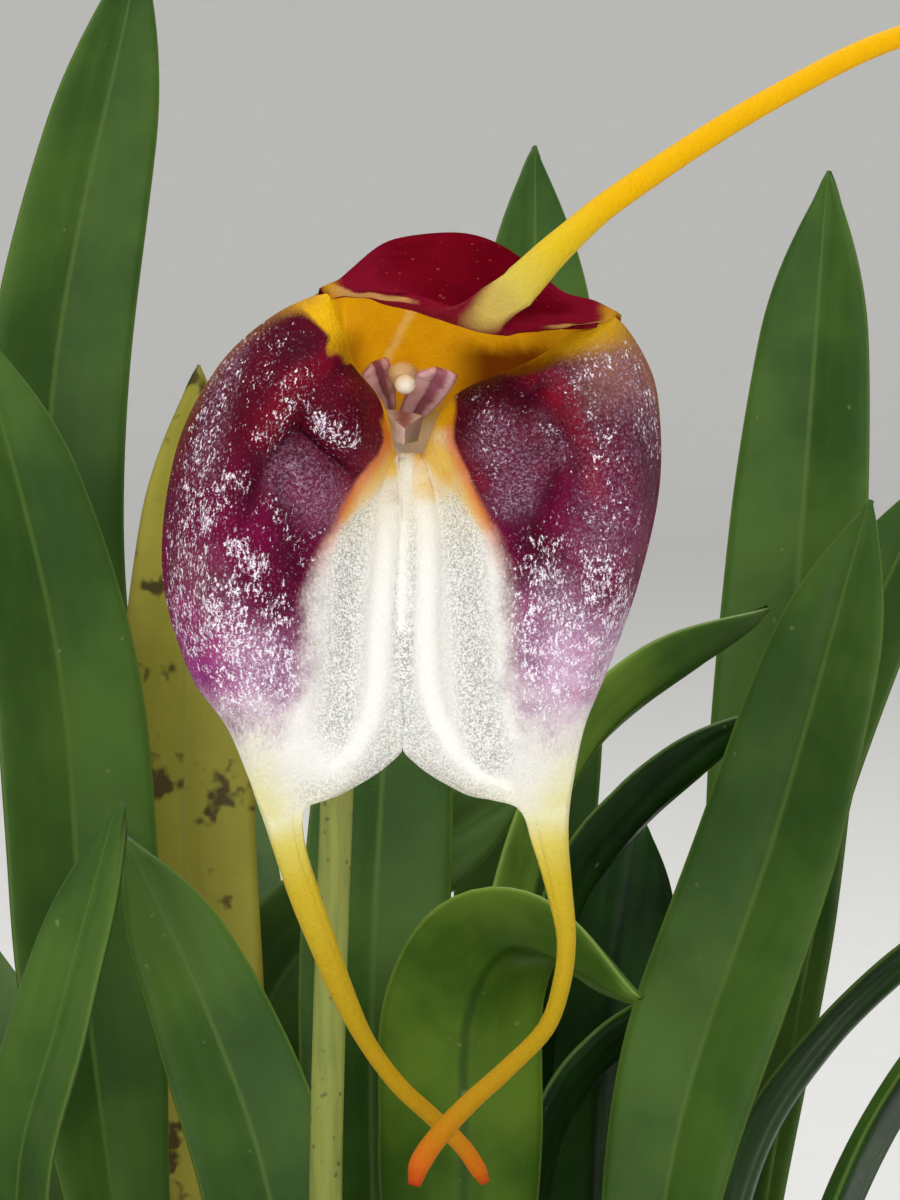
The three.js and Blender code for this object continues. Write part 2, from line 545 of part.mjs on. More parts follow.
// Ovary and its stalk: a ribbed green ovary behind the tube, curving down into the bract
const KNEE = at(-7, -24, 184.3);
function ovary() {
  const back = BLOOM.clone().add(at(1, 16.45, 1.5));
  const line = new THREE.CatmullRomCurve3([
    KNEE, at(-6.6, -23.6, 190), at(-5.2, -23.2, 196.5), at(-3.4, -24.6, 200.6), back,
  ]);
  add('ovary', tube((t) => line.getPoint(t), (t) => mix(0.75, 1.25, rise(t, 0.55, 0.85)), 8, 10), scapeGreen);
}

// Flower stem: straight and round, with a sheath at its first joint and a bract round the stalk at its top
function stem() {
  const points = [
    at(-7, -14, MIX.top - CANE.sunk - GAP), at(-7.1, -14.6, 80), at(-8, -19, 115), at(-8.1, -22.6, 150), KNEE,
  ];
  const line = new THREE.CatmullRomCurve3(points, false, 'centripetal');
  const length = line.getLength();
  const on = (from, to) => (t) => line.getPointAt(mix(from, to, t));
  const top = 1 - GAP / length;
  add('flower_stem', tube(on(GAP / length, top), () => SCAPE.radius, SCAPE.sides, 12), scapeGreen);
  sleeve('stem_sheath', on(0.3, 0.39), SCAPE.radius);
  sleeve('floral_bract', (t) => KNEE.clone().add(at(0.1 * t, 0.1 * t, mix(-3, 6, t))), SCAPE.radius);
  return tube(on(0, 0.12), () => SCAPE.radius + GAP, SCAPE.sides, 1);
}

// A thin papery sleeve that stands clear of what it wraps
function sleeve(name, place, radius) {
  const outer = solid(tube(place, () => radius + GAP + 0.65, 8, 2));
  const inner = solid(tube((t) => place(mix(-0.1, 1.1, t)), () => radius + GAP, 8, 3));
  add(name, surface(outer.subtract(inner)), bractStraw);
}

const holes = [...clumps(), stem()];
pot();
pottingMix(holes);
calyx();
petals();
lip();
column();
ovary();

export default object;
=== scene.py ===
# %% [markdown]
# # A potted Masdevallia schroederiana
# This lesson dresses a finished CAD model of a small orchid: one tailed bloom over leathery leaves, in a clay
# pot. The CAD model fixes every size. Blender replaces its coarse solids with fine ones in the same places,
# and gives each a procedural finish.
#
# First the frame is loaded. Each CAD node is an object at the origin with its place in its mesh, so a new
# piece is made straight at its place. The CAD box is kept.

# %% Load the frame
import math
import random
from functools import lru_cache

import bpy
import numpy as np
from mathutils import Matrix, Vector, noise

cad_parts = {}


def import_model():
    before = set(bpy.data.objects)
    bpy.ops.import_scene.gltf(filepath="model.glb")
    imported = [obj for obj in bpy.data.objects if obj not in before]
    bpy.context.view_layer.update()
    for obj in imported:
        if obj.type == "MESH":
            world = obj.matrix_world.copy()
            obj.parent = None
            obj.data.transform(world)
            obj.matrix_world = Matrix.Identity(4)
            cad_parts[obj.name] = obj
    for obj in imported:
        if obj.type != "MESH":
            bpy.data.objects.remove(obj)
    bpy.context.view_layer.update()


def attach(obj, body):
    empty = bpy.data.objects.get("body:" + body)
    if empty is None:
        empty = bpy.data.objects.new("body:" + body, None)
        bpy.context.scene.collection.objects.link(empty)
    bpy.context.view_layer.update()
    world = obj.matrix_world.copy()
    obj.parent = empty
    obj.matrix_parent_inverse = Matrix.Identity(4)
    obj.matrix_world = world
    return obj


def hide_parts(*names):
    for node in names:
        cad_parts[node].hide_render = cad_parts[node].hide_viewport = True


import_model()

MM = 0.001

# %% [markdown]
# ## Camera
# The photograph was taken close to the bloom with a macro lens, looking slightly down. BLOOM is the middle of
# the throat's lower lip. The camera could be placed by eye, but its place is worked out, so that the pieces can
# be set against the photo by numbers. A pixel of the photo is PIXEL wide at that distance, which fixes the focal
# length, and the pixel where BLOOM shows fixes how far the camera stands aside. Depth of field stays off.

# %% Camera
BLOOM = Vector((-0.003, -0.045, 0.200))
DISTANCE = 0.24
PIXEL = 0.0562249 * MM
TILT = math.radians(6)
PHOTO = (900, 1200)
SHOWN_AT = (402, 430)
ASIDE = (PHOTO[0] / 2 - SHOWN_AT[0]) * PIXEL
ABOVE = (SHOWN_AT[1] - PHOTO[1] / 2) * PIXEL
SENSOR = 36

forward = Vector((0, math.cos(TILT), -math.sin(TILT)))
up = Vector((0, math.sin(TILT), math.cos(TILT)))
right = Vector((1, 0, 0))
eye = BLOOM - forward * DISTANCE
eye += right * ASIDE + up * ABOVE

bpy.ops.object.camera_add(location=eye, rotation=(math.pi / 2 - TILT, 0, 0))
camera = bpy.context.object
camera.data.sensor_width = SENSOR
camera.data.lens = SENSOR * DISTANCE / (PHOTO[1] * PIXEL)
camera.data.clip_start, camera.data.clip_end = 0.01, 20
bpy.context.scene.camera = camera
print("lens", round(camera.data.lens, 1), "mm, eye", [round(c, 4) for c in eye])


def seen(places):
    """Where places of the bloom show in the picture. Places are rows of x, y, z in mm from BLOOM, and what comes
    back is mm right of and above BLOOM's pixel."""
    rays = np.array(places) * MM + np.array(BLOOM - eye)
    depth = rays @ np.array(forward) / DISTANCE
    aside = rays @ np.array(right) / depth + ASIDE
    above = rays @ np.array(up) / depth + ABOVE
    return np.stack([aside, above], axis=1) / MM


# %% [markdown]
# ## Shader maths
# Writing a shader as node calls is long and hard to read. Here a socket is wrapped in a small class whose
# arithmetic adds Math nodes, so that `1 - mask * 0.5` reads as it does on paper. Colours go through Mix nodes.
# `Finish` holds one material, its `node` method makes every other node, and its short methods name what the
# finishes use again and again: a smooth step, noise, cells, a blend of two colours and a bump.

# %% Sockets
class Socket:
    """One output of a shader node; arithmetic on it adds Math nodes."""

    def __init__(self, finish, link):
        self.finish, self.link = finish, link

    def math(self, operation, *values):
        return self.finish.node("Math", {"operation": operation}, values)

    def __add__(self, other):
        return self.math("ADD", self, other)

    def __sub__(self, other):
        return self.math("SUBTRACT", self, other)

    def __rsub__(self, other):
        return self.math("SUBTRACT", other, self)

    def __mul__(self, other):
        return self.math("MULTIPLY", self, other)

    def __truediv__(self, other):
        return self.math("DIVIDE", self, other)

    def __abs__(self):
        return self.math("ABSOLUTE", self)

    __radd__, __rmul__ = __add__, __mul__


print("sockets ready")


# %% Finishes
def paint(red, green, blue):
    """A colour given as a screen shows it, from 0 to 255, in the linear values that shaders use."""
    parts = [c / 255 for c in (red, green, blue)]
    return (*(c / 12.92 if c <= 0.04045 else ((c + 0.055) / 1.055) ** 2.4 for c in parts), 1)


class Finish:
    """One procedural material; constants are set on its Principled shader's own sockets."""

    def __init__(self, name, **constants):
        self.material = bpy.data.materials.new(name)
        self.material.use_nodes = True
        self.tree = self.material.node_tree
        self.shader = self.tree.nodes["Principled BSDF"]
        for socket, value in constants.items():
            self.shader.inputs[socket.replace("_", " ")].default_value = value
        self.place = self.node("TexCoord", output="Object")

    def node(self, kind, settings={}, values=(), output=0):
        """One node: its settings and a ramp's stops are set first, then its sockets' values or links."""
        made = self.tree.nodes.new("ShaderNode" + kind)
        for name, value in settings.items():
            if name == "stops":
                for _ in value[2:]:
                    made.color_ramp.elements.new(0.5)
                for element, (position, colour) in zip(made.color_ramp.elements, value):
                    element.position, element.color = position, colour
            else:
                setattr(made, name, value)
        for key, value in values.items() if isinstance(values, dict) else enumerate(values):
            if isinstance(value, Socket):
                self.tree.links.new(value.link, made.inputs[key])
            else:
                made.inputs[key].default_value = value
        return Socket(self, made.outputs[output])

    def attribute(self, name):
        return self.node("Attribute", {"attribute_name": name}, output="Fac")

    def rise(self, value, low, high):
        """0 below low and 1 above high, smooth between; low may be the larger."""
        return self.node("MapRange", {"interpolation_type": "SMOOTHSTEP"}, {0: value, 1: low, 2: high})

    def from_bloom(self, axis):
        """How far a point lies from BLOOM along an axis, X, Y or Z, in mm."""
        spot = self.node("SeparateXYZ", {}, (self.place,), output=axis)
        return (spot - BLOOM["XYZ".index(axis)]) / MM

    def stretched(self, *factors):
        """Object coordinates, each times its factor, for noise that is drawn out along an axis."""
        return self.node("VectorMath", {"operation": "MULTIPLY"}, (self.place, factors))

    def noise(self, size, detail=3, roughness=0.55, place=None, shift=0):
        """Noise from about 0 to 1 whose lumps are about size mm across, or size in the units of another place."""
        scale = 1 / (size * MM) if place is None else 1 / size
        place = place or self.place
        if shift:
            place = self.node("VectorMath", {"operation": "ADD"}, (place, (shift, shift, shift)))
        values = {"Vector": place, "Scale": scale, "Detail": detail, "Roughness": roughness}
        return self.node("TexNoise", {}, values)

    def cells(self, size):
        """Distance to the nearest of points about size mm apart, in those units."""
        return self.node("TexVoronoi", {}, {"Vector": self.place, "Scale": 1 / (size * MM)})

    def blend(self, mask, first, second, mode="MIX"):
        settings = {"data_type": "RGBA", "blend_type": mode, "clamp_factor": True}
        return self.node("Mix", settings, {0: mask, 6: first, 7: second}, output=2)

    def feed(self, **sockets):
        for name, value in sockets.items():
            self.tree.links.new(value.link, self.shader.inputs[name.replace("_", " ")])

    def bump(self, height, depth, strength=1):
        """Relief of depth mm where height goes from 0 to 1."""
        values = {"Height": height, "Distance": depth * MM, "Strength": strength}
        self.feed(Normal=self.node("Bump", {}, values))


print("finishes ready")

# %% [markdown]
# ## Floor and light
# The object stands on a plain pale floor that curves up into a backdrop, as in a small photo studio. A plane
# and a wall would show a corner from some side, so one disc makes both: it is subdivided, and its vertices far
# from the middle are raised. Five soft area lights stand in for the photo's flashes: a main light from the upper
# left, weaker ones from the right, the front and behind, and a wide one overhead. A dim world fills the shadows.

# %% Floor
FLOOR_RADIUS, FLAT_RADIUS, CURVE = 3.2, 2.1, 1.8


def add(kind, name, **settings):
    """Adds a primitive with nothing else selected."""
    bpy.ops.object.select_all(action="DESELECT")
    getattr(bpy.ops.mesh, f"primitive_{kind}_add")(**settings)
    bpy.context.object.name = name
    return bpy.context.object


floor = add("circle", "studio_floor", vertices=96, radius=FLOOR_RADIUS, fill_type="TRIFAN")
bpy.ops.object.mode_set(mode="EDIT")
bpy.ops.mesh.select_all(action="SELECT")
bpy.ops.mesh.subdivide(number_cuts=24)
bpy.ops.object.mode_set(mode="OBJECT")
for vertex in floor.data.vertices:
    vertex.co.z = CURVE * max(0, vertex.co.xy.length - FLAT_RADIUS) ** 2
bpy.ops.object.shade_smooth()
pale = Finish("studio_paper", Roughness=0.9)
pale.feed(Base_Color=pale.blend(pale.noise(9, 4), paint(224, 223, 220), paint(230, 229, 226)))
floor.data.materials.append(pale.material)
print("floor of", len(floor.data.vertices), "vertices")

# %% Lights
AIM = Vector((0, 0, 0.13))
# Each light's place and size in metres, and its power in watts
LIGHTS = {
    "left_light": ((-0.42, -0.85, 0.48), 0.32, 2.1),
    "right_light": ((0.40, -0.85, 0.42), 0.32, 1.4),
    "front_light": ((0.0, -1.0, 0.34), 0.25, 1.1),
    "back_light": ((0.15, 0.75, 0.85), 0.6, 1.8),
    "top_light": ((0.0, 0.0, 2.2), 3, 52),
}
for name, (place, size, power) in LIGHTS.items():
    bpy.ops.object.light_add(type="AREA", location=place)
    light = bpy.context.object
    light.name = name
    light.data.size, light.data.energy = size, power
    light.rotation_euler = (Vector(place) - AIM).to_track_quat("Z", "Y").to_euler()
world = bpy.data.worlds.new("studio")
world.use_nodes = True
background = world.node_tree.nodes["Background"]
background.inputs["Color"].default_value = (0.9, 0.95, 1, 1)
background.inputs["Strength"].default_value = 0.12
bpy.context.scene.world = world
bpy.context.scene.view_settings.view_transform = "Standard"
print("lights:", sorted(LIGHTS))

# %% [markdown]
# ## Smooth lines and sheets
# Sepals, petals and leaves are all curved sheets. They could be sculpted by hand, but then they would drift from
# the CAD. So a grid primitive is added, each of its vertices is moved to the place that a function gives for its
# share across and along, and a Solidify modifier gives it flesh. The lines are the CAD source's Catmull-Rom
# splines, repeated here, so the fine sheets lie where the solids lie.

# %% Small maths
def mix(a, b, share):
    return a + (b - a) * share


def rise(x, low, high):
    """0 below low and 1 above high, with a smooth step between."""
    share = min(1, max(0, (x - low) / (high - low)))
    return share * share * (3 - 2 * share)


def bell(x, middle, spread):
    """1 at the middle, falling softly to 0 on both sides."""
    return math.exp(-(((x - middle) / spread) ** 2))


def unit(vector):
    return vector / np.linalg.norm(vector)


def lumps(place, size):
    """Smooth noise from about -1 to 1, in lumps about size across."""
    return noise.noise(Vector(place) / size)


print("halfway up a rise:", rise(1, 0, 2))

# %% Lines
LINE_STEPS = 200


def curve_at(points, share, power=0.5):
    """The place at a share of a smooth line through the points; power 0 spaces them evenly."""
    points = np.asarray(points, float)
    reach = share * (len(points) - 1)
    i = min(int(reach), len(points) - 2)
    w = reach - i
    p1, p2 = points[i], points[i + 1]
    p0 = points[i - 1] if i else 2 * p1 - p2
    p3 = points[i + 2] if i + 2 < len(points) else 2 * p2 - p1
    if power:
        d0, d1, d2 = (np.linalg.norm(b - a) ** power for a, b in ((p0, p1), (p1, p2), (p2, p3)))
        d1 = d1 if d1 > 1e-4 else 1
        d0, d2 = (d if d > 1e-4 else d1 for d in (d0, d2))
        m1 = ((p1 - p0) / d0 - (p2 - p0) / (d0 + d1) + (p2 - p1) / d1) * d1
        m2 = ((p2 - p1) / d1 - (p3 - p1) / (d1 + d2) + (p3 - p2) / d2) * d1
    else:
        m1, m2 = (p2 - p0) / 2, (p3 - p1) / 2
    return p1 + m1 * w + (3 * (p2 - p1) - 2 * m1 - m2) * w**2 + (2 * (p1 - p2) + m1 + m2) * w**3


class Line:
    """A smooth line through points in mm, walked by its length."""

    def __init__(self, points):
        self.points = points
        self.shares = np.linspace(0, 1, LINE_STEPS + 1)
        trace = np.array([curve_at(points, share) for share in self.shares])
        self.run = np.concatenate([[0], np.cumsum(np.linalg.norm(np.diff(trace, axis=0), axis=1))])
        self.length = self.run[-1]

    def at(self, share):
        return curve_at(self.points, np.interp(share * self.length, self.run, self.shares))

    def way(self, share):
        return unit(self.at(min(1, share + 0.002)) - self.at(max(0, share - 0.002)))


class Stretch:
    """The part of a line between two shares of its length."""

    def __init__(self, line, start, end):
        self.line, self.start, self.end = line, start, end

    def at(self, share):
        return self.line.at(mix(self.start, self.end, share))

    def way(self, share):
        return self.line.way(mix(self.start, self.end, share))


print("a straight line of 3 and 4 mm is", round(Line([(0, 0, 0), (3, 4, 0)]).length, 3), "mm long")


# %% Mesh tools
def select(piece):
    bpy.ops.object.select_all(action="DESELECT")
    piece.select_set(True)
    bpy.context.view_layer.objects.active = piece


def edit(piece, *steps):
    """Runs edit-mode operators on all of a piece's faces; each step is an operator's name and its settings."""
    select(piece)
    bpy.ops.object.mode_set(mode="EDIT")
    for operator, settings in steps:
        bpy.ops.mesh.select_all(action="SELECT")
        getattr(bpy.ops.mesh, operator)(**settings)
    bpy.ops.object.mode_set(mode="OBJECT")


def modify(piece, kind, **settings):
    """Adds a modifier and applies it."""
    select(piece)
    bpy.ops.object.modifier_add(type=kind)
    modifier = piece.modifiers[-1]
    for name, value in settings.items():
        setattr(modifier, name, value)
    bpy.ops.object.modifier_apply(modifier=modifier.name)


def join(pieces, name):
    """Makes one object of several."""
    bpy.ops.object.select_all(action="DESELECT")
    for piece in pieces:
        piece.select_set(True)
    bpy.context.view_layer.objects.active = pieces[0]
    bpy.ops.object.join()
    pieces[0].name = pieces[0].data.name = name
    return pieces[0]


def record(piece, name, values):
    """Keeps one number for each vertex, for the shader to read."""
    attribute = piece.data.attributes.new(name, "FLOAT", "POINT")
    attribute.data.foreach_set("value", values)


print("mesh tools ready")


# %% Sheet tools
def sheet(name, across, rows, place, notes=None, half=None):
    """A grid whose vertices are moved to place(u, v) in mm. notes(u, v) gives the numbers kept for the shader,
    and half(u, v) half the thickness in mm that flesh() gives it."""
    piece = add("grid", name, x_subdivisions=across, y_subdivisions=rows, size=1)
    shares = [(vertex.co.x + 0.5, vertex.co.y + 0.5) for vertex in piece.data.vertices]
    places = np.array([place(u, v) for u, v in shares])
    piece.data.vertices.foreach_set("co", (places * MM).ravel())
    if notes:
        table = [notes(u, v) for u, v in shares]
        for key in table[0]:
            record(piece, key, [line[key] for line in table])
    if half:
        group = piece.vertex_groups.new(name="half")
        for i, (u, v) in enumerate(shares):
            group.add([i], half(u, v), "REPLACE")
    return piece


def coat(piece, *finishes):
    """Gives a piece its finishes, in the order of its material slots."""
    for finish in finishes:
        piece.data.materials.append(finish.material)
    return piece


def flesh(piece):
    """Gives a sheet its thickness, twice the weight of its half group in mm. Its far face takes its last finish."""
    modify(
        piece, "SOLIDIFY", thickness=2 * MM, offset=0, vertex_group="half", thickness_vertex_group=0,
        use_even_offset=False, material_offset=len(piece.data.materials) - 1,
    )
    bpy.ops.object.shade_smooth()
    return piece


def dress(piece, slot, *nodes):
    """Says which nodes a piece stands for, and lets it ride on the object's one body."""
    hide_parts(*nodes)
    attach(piece, "root")
    print(piece.name, len(piece.data.vertices), "vertices for", ", ".join(nodes))


print("sheet tools ready")

# %% [markdown]
# ## The calyx: shape
# Three sepals are grown together into one piece. Behind is an inflated tube, in front the two side sepals open
# into a broad face, and each sepal runs out into a long tail. The CAD source gives each sepal as rows of five
# points, from the ovary out to the tail's tip. A smoothed cage would only pass near those points, so the same
# rows are used here, in mm from BLOOM, with many more steps between them. Three sheets are made, their shared
# seams are merged, and the whole gets its flesh at once.

# %% Rows of the sepals
# The tube's rings: y, the middle's x and z, and the half width and height
TUBE = [(15.6, 1.0, 1.5, 0, 0), (14.4, 1.0, 1.6, 2.6, 2.3), (10.5, 2.2, 2.9, 5.5, 5.3), (6.0, 3.3, 3.8, 7.3, 6.7)]
RIGHT_ROWS = [
    [(0, 4, -2), (1.7, 4, -1.8), (3.1, 2.5, 1.4), (7.6, 1.4, 3.5), (12, 0.5, 6.3)],
    [(0, 3.6, -3.3), (2, 3.3, -3.2), (4.4, 0.5, -1), (8.4, -1, 2), (13.5, 1.2, 4.3)],
    [(0, 3, -5.3), (2.4, 2.6, -5.2), (5, 1, -3.9), (10.6, -1.3, 0.2), (14.4, 1.8, 1.6)],
    [(0, 2.2, -9), (2.8, 1.8, -9), (5.7, 0.8, -7.6), (11.4, -1.5, -4.2), (14.5, 2.2, -3.4)],
    [(0, 1.6, -13.5), (3.1, 1.2, -13.2), (6.1, 0.2, -11.8), (10.8, -1.2, -9.3), (13.3, 2, -8.9)],
    [(0, 1.2, -18.1), (3.5, 0.6, -17.1), (6.5, 0, -15.7), (9.8, -0.4, -14.1), (11.5, 1.4, -13.9)],
    [(3.4, 0.9, -20.7), (5.3, 0.4, -19.6), (7.2, 0, -17.9), (9.2, 0, -17.1), (10.3, 0.8, -16.8)],
]
LEFT_ROWS = [
    [(0, 4, -2), (-0.9, 4, -1.8), (-1.2, 2.5, 0.9), (-3.2, 1.4, 3.5), (-4.3, 0.5, 7.7)],
    [(0, 3.6, -3.3), (-1.3, 3.3, -3.1), (-2.4, 0.5, -0.8), (-5, -0.8, 2.4), (-7.3, 1.2, 6.3)],
    [(0, 3, -5.3), (-1.7, 2.6, -4.9), (-3.4, 1, -3.7), (-7, -1.3, 0), (-10.4, 1.8, 3.4)],
    [(0, 2.2, -9), (-2.5, 1.8, -9), (-4.7, 0.8, -7.3), (-8.9, -1.5, -4.5), (-12.8, 2.2, -1.4)],
    [(0, 1.6, -13.5), (-2.9, 1.2, -13.2), (-5.5, 0.2, -11.8), (-9.9, -1.2, -9.3), (-13.6, 2.2, -8.2)],
    [(0, 1.2, -18.1), (-3.6, 0.6, -17.1), (-6.3, 0, -15.8), (-9.8, -0.4, -14), (-12, 1.6, -14)],
    [(-3.3, 0.9, -20.7), (-4.9, 0.4, -19.8), (-6.7, 0, -18.3), (-8.6, 0, -17.4), (-9.7, 1, -17.2)],
]
TOP_ROWS = [
    [(12, 0.5, 6.3), (9, 0.8, 7), (4.2, 0.8, 7.6), (-0.4, 0.9, 8.2), (-4.3, 0.5, 7.7)],
    [(9.4, -0.3, 5.9), (7, -0.7, 6.2), (4.3, -0.8, 6.6), (1.8, -0.7, 6.9), (-0.6, -0.5, 7.4)],
    [(6, -1.8, 5.8), (5.1, -2.2, 5.9), (4.2, -2.3, 6.1), (3.4, -2.3, 6.5), (2.7, -2.1, 7)],
]
# Points of each tail's middle, with its half width
TAILS = {
    "right": [
        (8.0, 0.2, -21.1, 1.6), (8.4, 0, -23.4, 1.05), (8.9, -0.3, -26.1, 0.75), (9.3, -0.8, -28.9, 0.55),
        (9.0, -1.5, -31.4, 0.52), (8.1, -2.4, -33.7, 0.5), (5.9, -3.4, -35.8, 0.52), (3.7, -4.4, -37.6, 0.55),
        (2.0, -5.2, -39.3, 0.6), (1.0, -5.8, -40.7, 0.6), (0.7, -6.2, -41.8, 0.35),
    ],
    "left": [
        (-6.75, 0.2, -21.5, 1.35), (-6.5, 0.2, -23.5, 0.95), (-5.6, 0.3, -26.5, 0.88), (-4.5, 0.5, -29.5, 0.8),
        (-3.4, 0.8, -32.4, 0.68), (-2.1, 1.2, -35.2, 0.52), (-0.3, 1.6, -37.8, 0.5), (1.7, 2.0, -39.8, 0.5),
        (3.4, 2.4, -41.6, 0.5), (4.3, 2.7, -43.0, 0.48), (4.7, 2.9, -43.8, 0.3),
    ],
    "top": [
        (5.4, -2.8, 7.3, 1.15), (6.7, -2.5, 8.3, 1.1), (8.3, -1.8, 9.9, 0.93), (10.0, -0.9, 11.4, 0.8),
        (11.6, -0.2, 12.7, 0.74), (15.0, 1.0, 15.0, 0.7), (18.5, 2.2, 17.2, 0.67), (21.9, 3.4, 19.1, 0.65),
        (25.4, 4.8, 20.9, 0.64), (28.4, 6.0, 22.1, 0.62), (33.4, 7.8, 23.7, 0.6), (39, 9.6, 24.4, 0.58),
        (44.6, 11.4, 23.8, 0.58), (48.8, 12.6, 22.4, 0.56), (49.6, 12.8, 22, 0.3),
    ],
}
print({name: len(points) for name, points in TAILS.items()}, "points in the tails")

# %% Tube and tails
MOUTH = len(TUBE)
NOTCH = MOUTH + 5
FLESH = 0.9


def tube_row(y, x, z, wide, high, start, end):
    """Five points on a ring of the tube, from one angle to another."""
    angles = [math.radians(mix(start, end, i / 4)) for i in range(5)]
    return [(x + wide * math.cos(a), y, z + high * math.sin(a)) for a in angles]


def tail_rows(points, flip):
    """Rows across a tail, in the order of its sepal's columns."""
    centre = [point[:3] for point in points]
    rows = []
    for i, (x, y, z, half) in enumerate(points):
        share = i / (len(points) - 1)
        ahead = curve_at(centre, min(1, share + 1e-4))
        run = ahead - curve_at(centre, max(0, share - 1e-4))
        side = unit(np.array([-run[2], 0, run[0]])) * flip * half
        rows.append([tuple(np.array([x, y, z]) + side * s) for s in (-1, -0.5, 0, 0.5, 1)])
    return rows


ROWS = {
    "right": [tube_row(*t, -90, 30) for t in TUBE] + RIGHT_ROWS + tail_rows(TAILS["right"], 1),
    "left": [tube_row(*t, 270, 150) for t in TUBE] + LEFT_ROWS + tail_rows(TAILS["left"], -1),
    "top": [tube_row(*t, 30, 150) for t in TUBE] + TOP_ROWS + tail_rows(TAILS["top"], 1),
}
print({name: len(rows) for name, rows in ROWS.items()}, "rows")

# %% [markdown]
# The purple pads are swollen, and two narrow keels stand beside the middle seam. RELIEF raises or sinks the
# side sepals at places counted in columns from the seam and rows from the mouth, as the CAD source does. A
# displacement texture could swell the pads too, but it wouldn't keep to the solids. The fine sheets add what the
# solids leave out: the pads' small lumps and the frilled edge of the top sepal.

# %% Surface of a sepal
# Each swelling's column and row, its spread in both, and its height in mm
RELIEF = {
    "right": [
        (0.5, 3.6, 0.26, 2.8, 0.45), (2.5, 0.9, 0.45, 0.8, 0.8), (2.7, 2.6, 0.4, 0.9, -0.6),
        (3.3, 2.4, 0.35, 2.2, 0.45),
    ],
    "left": [
        (0.5, 3.6, 0.26, 2.8, 0.45), (2.5, 0.8, 0.5, 0.7, 0.9), (2.35, 2.1, 0.35, 0.5, 0.6),
        (2.9, 1.9, 0.3, 1, -0.8), (3.3, 2.2, 0.35, 2.4, 0.5),
    ],
}


@lru_cache(maxsize=None)
def sepal_row(which, row):
    """The five points of a sepal at a row, which need not be a whole number."""
    points = []
    for g in range(5):
        column = [line[g] for line in ROWS[which]]
        if row < MOUTH and (g == 4 or (g == 0 and which == "top")):
            column = column[: MOUTH + 1]
        points.append(curve_at(column, row / (len(column) - 1), 0))
    return points


def sepal_place(which, u, row):
    """A point of a sepal's sheet, in mm from BLOOM, for a share across and a row, which need not be whole."""
    place = curve_at(sepal_row(which, row), u, 0)
    if which == "top":
        # Its free edges are frilled, and the dome behind them is fuller on one flank and hollower on the other
        free = rise(row, MOUTH, MOUTH + 0.6) * (1 - rise(row, MOUTH + 1.3, MOUTH + 2.2))
        frill = free * (bell(u, 1, 0.22) + bell(u, 0, 0.22))
        place[2] += 0.16 * frill * lumps((place[0], 3, 0), 1.1)
        place[1] += 0.3 * frill * lumps((place[0], 0, 7), 0.9)
        place[2] += 0.75 * bell(u, 0.86, 0.2) * bell(row, MOUTH - 0.9, 0.75) * (1 - rise(u, 0.93, 1))
        place[2] -= 0.9 * bell(u, 0.24, 0.16) * bell(row, MOUTH - 0.4, 0.8) * rise(u, 0, 0.1)
        return place
    # The CAD's swellings, and finer lumps on the pads alone
    r = row - MOUTH
    lift = sum(high * bell(4 * u, g, dg) * bell(r, at, dr) for g, at, dg, dr, high in RELIEF[which])
    pads = rise(4 * u, 1.9, 2.5) * (1 - rise(4 * u, 3.6, 4)) * rise(r, 0, 0.6) * (1 - rise(r, 4.2, 5.4))
    lift += pads * (0.16 * lumps(place, 1.9) + 0.1 * lumps(place, 0.8))
    place[1] -= lift * rise(row, MOUTH - 1, MOUTH) * (1 - rise(u, 0.9, 1))
    if MOUTH <= row <= NOTCH:
        place[0] = max(place[0], 0) if which == "right" else min(place[0], 0)
    return place


def sepal_half(which, u, row):
    """Half the sepal's thickness: an even blade with thin edges that rounds into a tail."""
    tail = TAILS[which]
    start = len(ROWS[which]) - len(tail)
    reach = max(0, row - start)
    low = min(int(reach), len(tail) - 2)
    width = mix(tail[low][3], tail[low + 1][3], reach - low)
    round_half = 0.06 + 0.94 * width * math.sqrt(max(0, 1 - (2 * u - 1) ** 2))
    free = rise(row, MOUTH, MOUTH + 0.5)
    edges = bell(u, 1, 0.045) * free
    if which == "top" or row > NOTCH:
        edges += bell(u, 0, 0.045) * (free if which == "top" else rise(row, NOTCH, NOTCH + 0.3))
    return mix(FLESH / 2 * (1 - 0.72 * min(1, edges)), round_half, rise(row, start - 0.5, start + 2))


print("sepal surface ready")

# %% [markdown]
# ## The calyx: markings
# Each side sepal carries a wine-purple pad with a clear edge against the white middle. Texture coordinates
# alone can't follow such an outline, and an image would have to be painted, so it is drawn as a polygon in the
# plane of the picture, in mm from BLOOM, and each vertex keeps its distance from it. Painted glints, a painted
# grey sheen, painted shade in creases, folds and tints are short brush strokes, each with the points of its
# middle, its half width and its strength. The shader turns these few numbers into edges and adds the fine grain
# itself.

# %% Outlines of the pads
WINE = [
    [
        (-4.3, 4.1), (-4.3, 5.1), (-4.8, 6.0), (-5.5, 6.7), (-7.1, 6.8), (-14.7, 6.7), (-14.7, -18.6),
        (-7.9, -19.4), (-6.6, -17.1), (-5.8, -14.6), (-5.6, -11.2), (-5.1, -8.4), (-4.5, -6.2), (-3.8, -4.5),
        (-2.9, -2.8), (-1.3, -0.6), (-1.0, 0.6), (-0.9, 1.7), (-1.7, 3.0), (-3.2, 3.6), (-3.6, 3.6),
        (-3.7, 4.1), (-4.0, 4.3),
    ],
    [
        (3.1, -0.3), (3.1, 1.1), (3.4, 2.1), (4.3, 2.8), (5.2, 2.9), (6.8, 2.7), (7.9, 3.0), (9.1, 3.5),
        (10.2, 3.8), (11.4, 4.6), (12.3, 5.0), (16.8, 5.3), (16.8, -18.6), (8.9, -19.4), (7.2, -16.9),
        (6.6, -15.2), (6.4, -12.9), (6.1, -10.1), (5.8, -7.3), (4.9, -4.5), (3.8, -1.7),
    ],
]
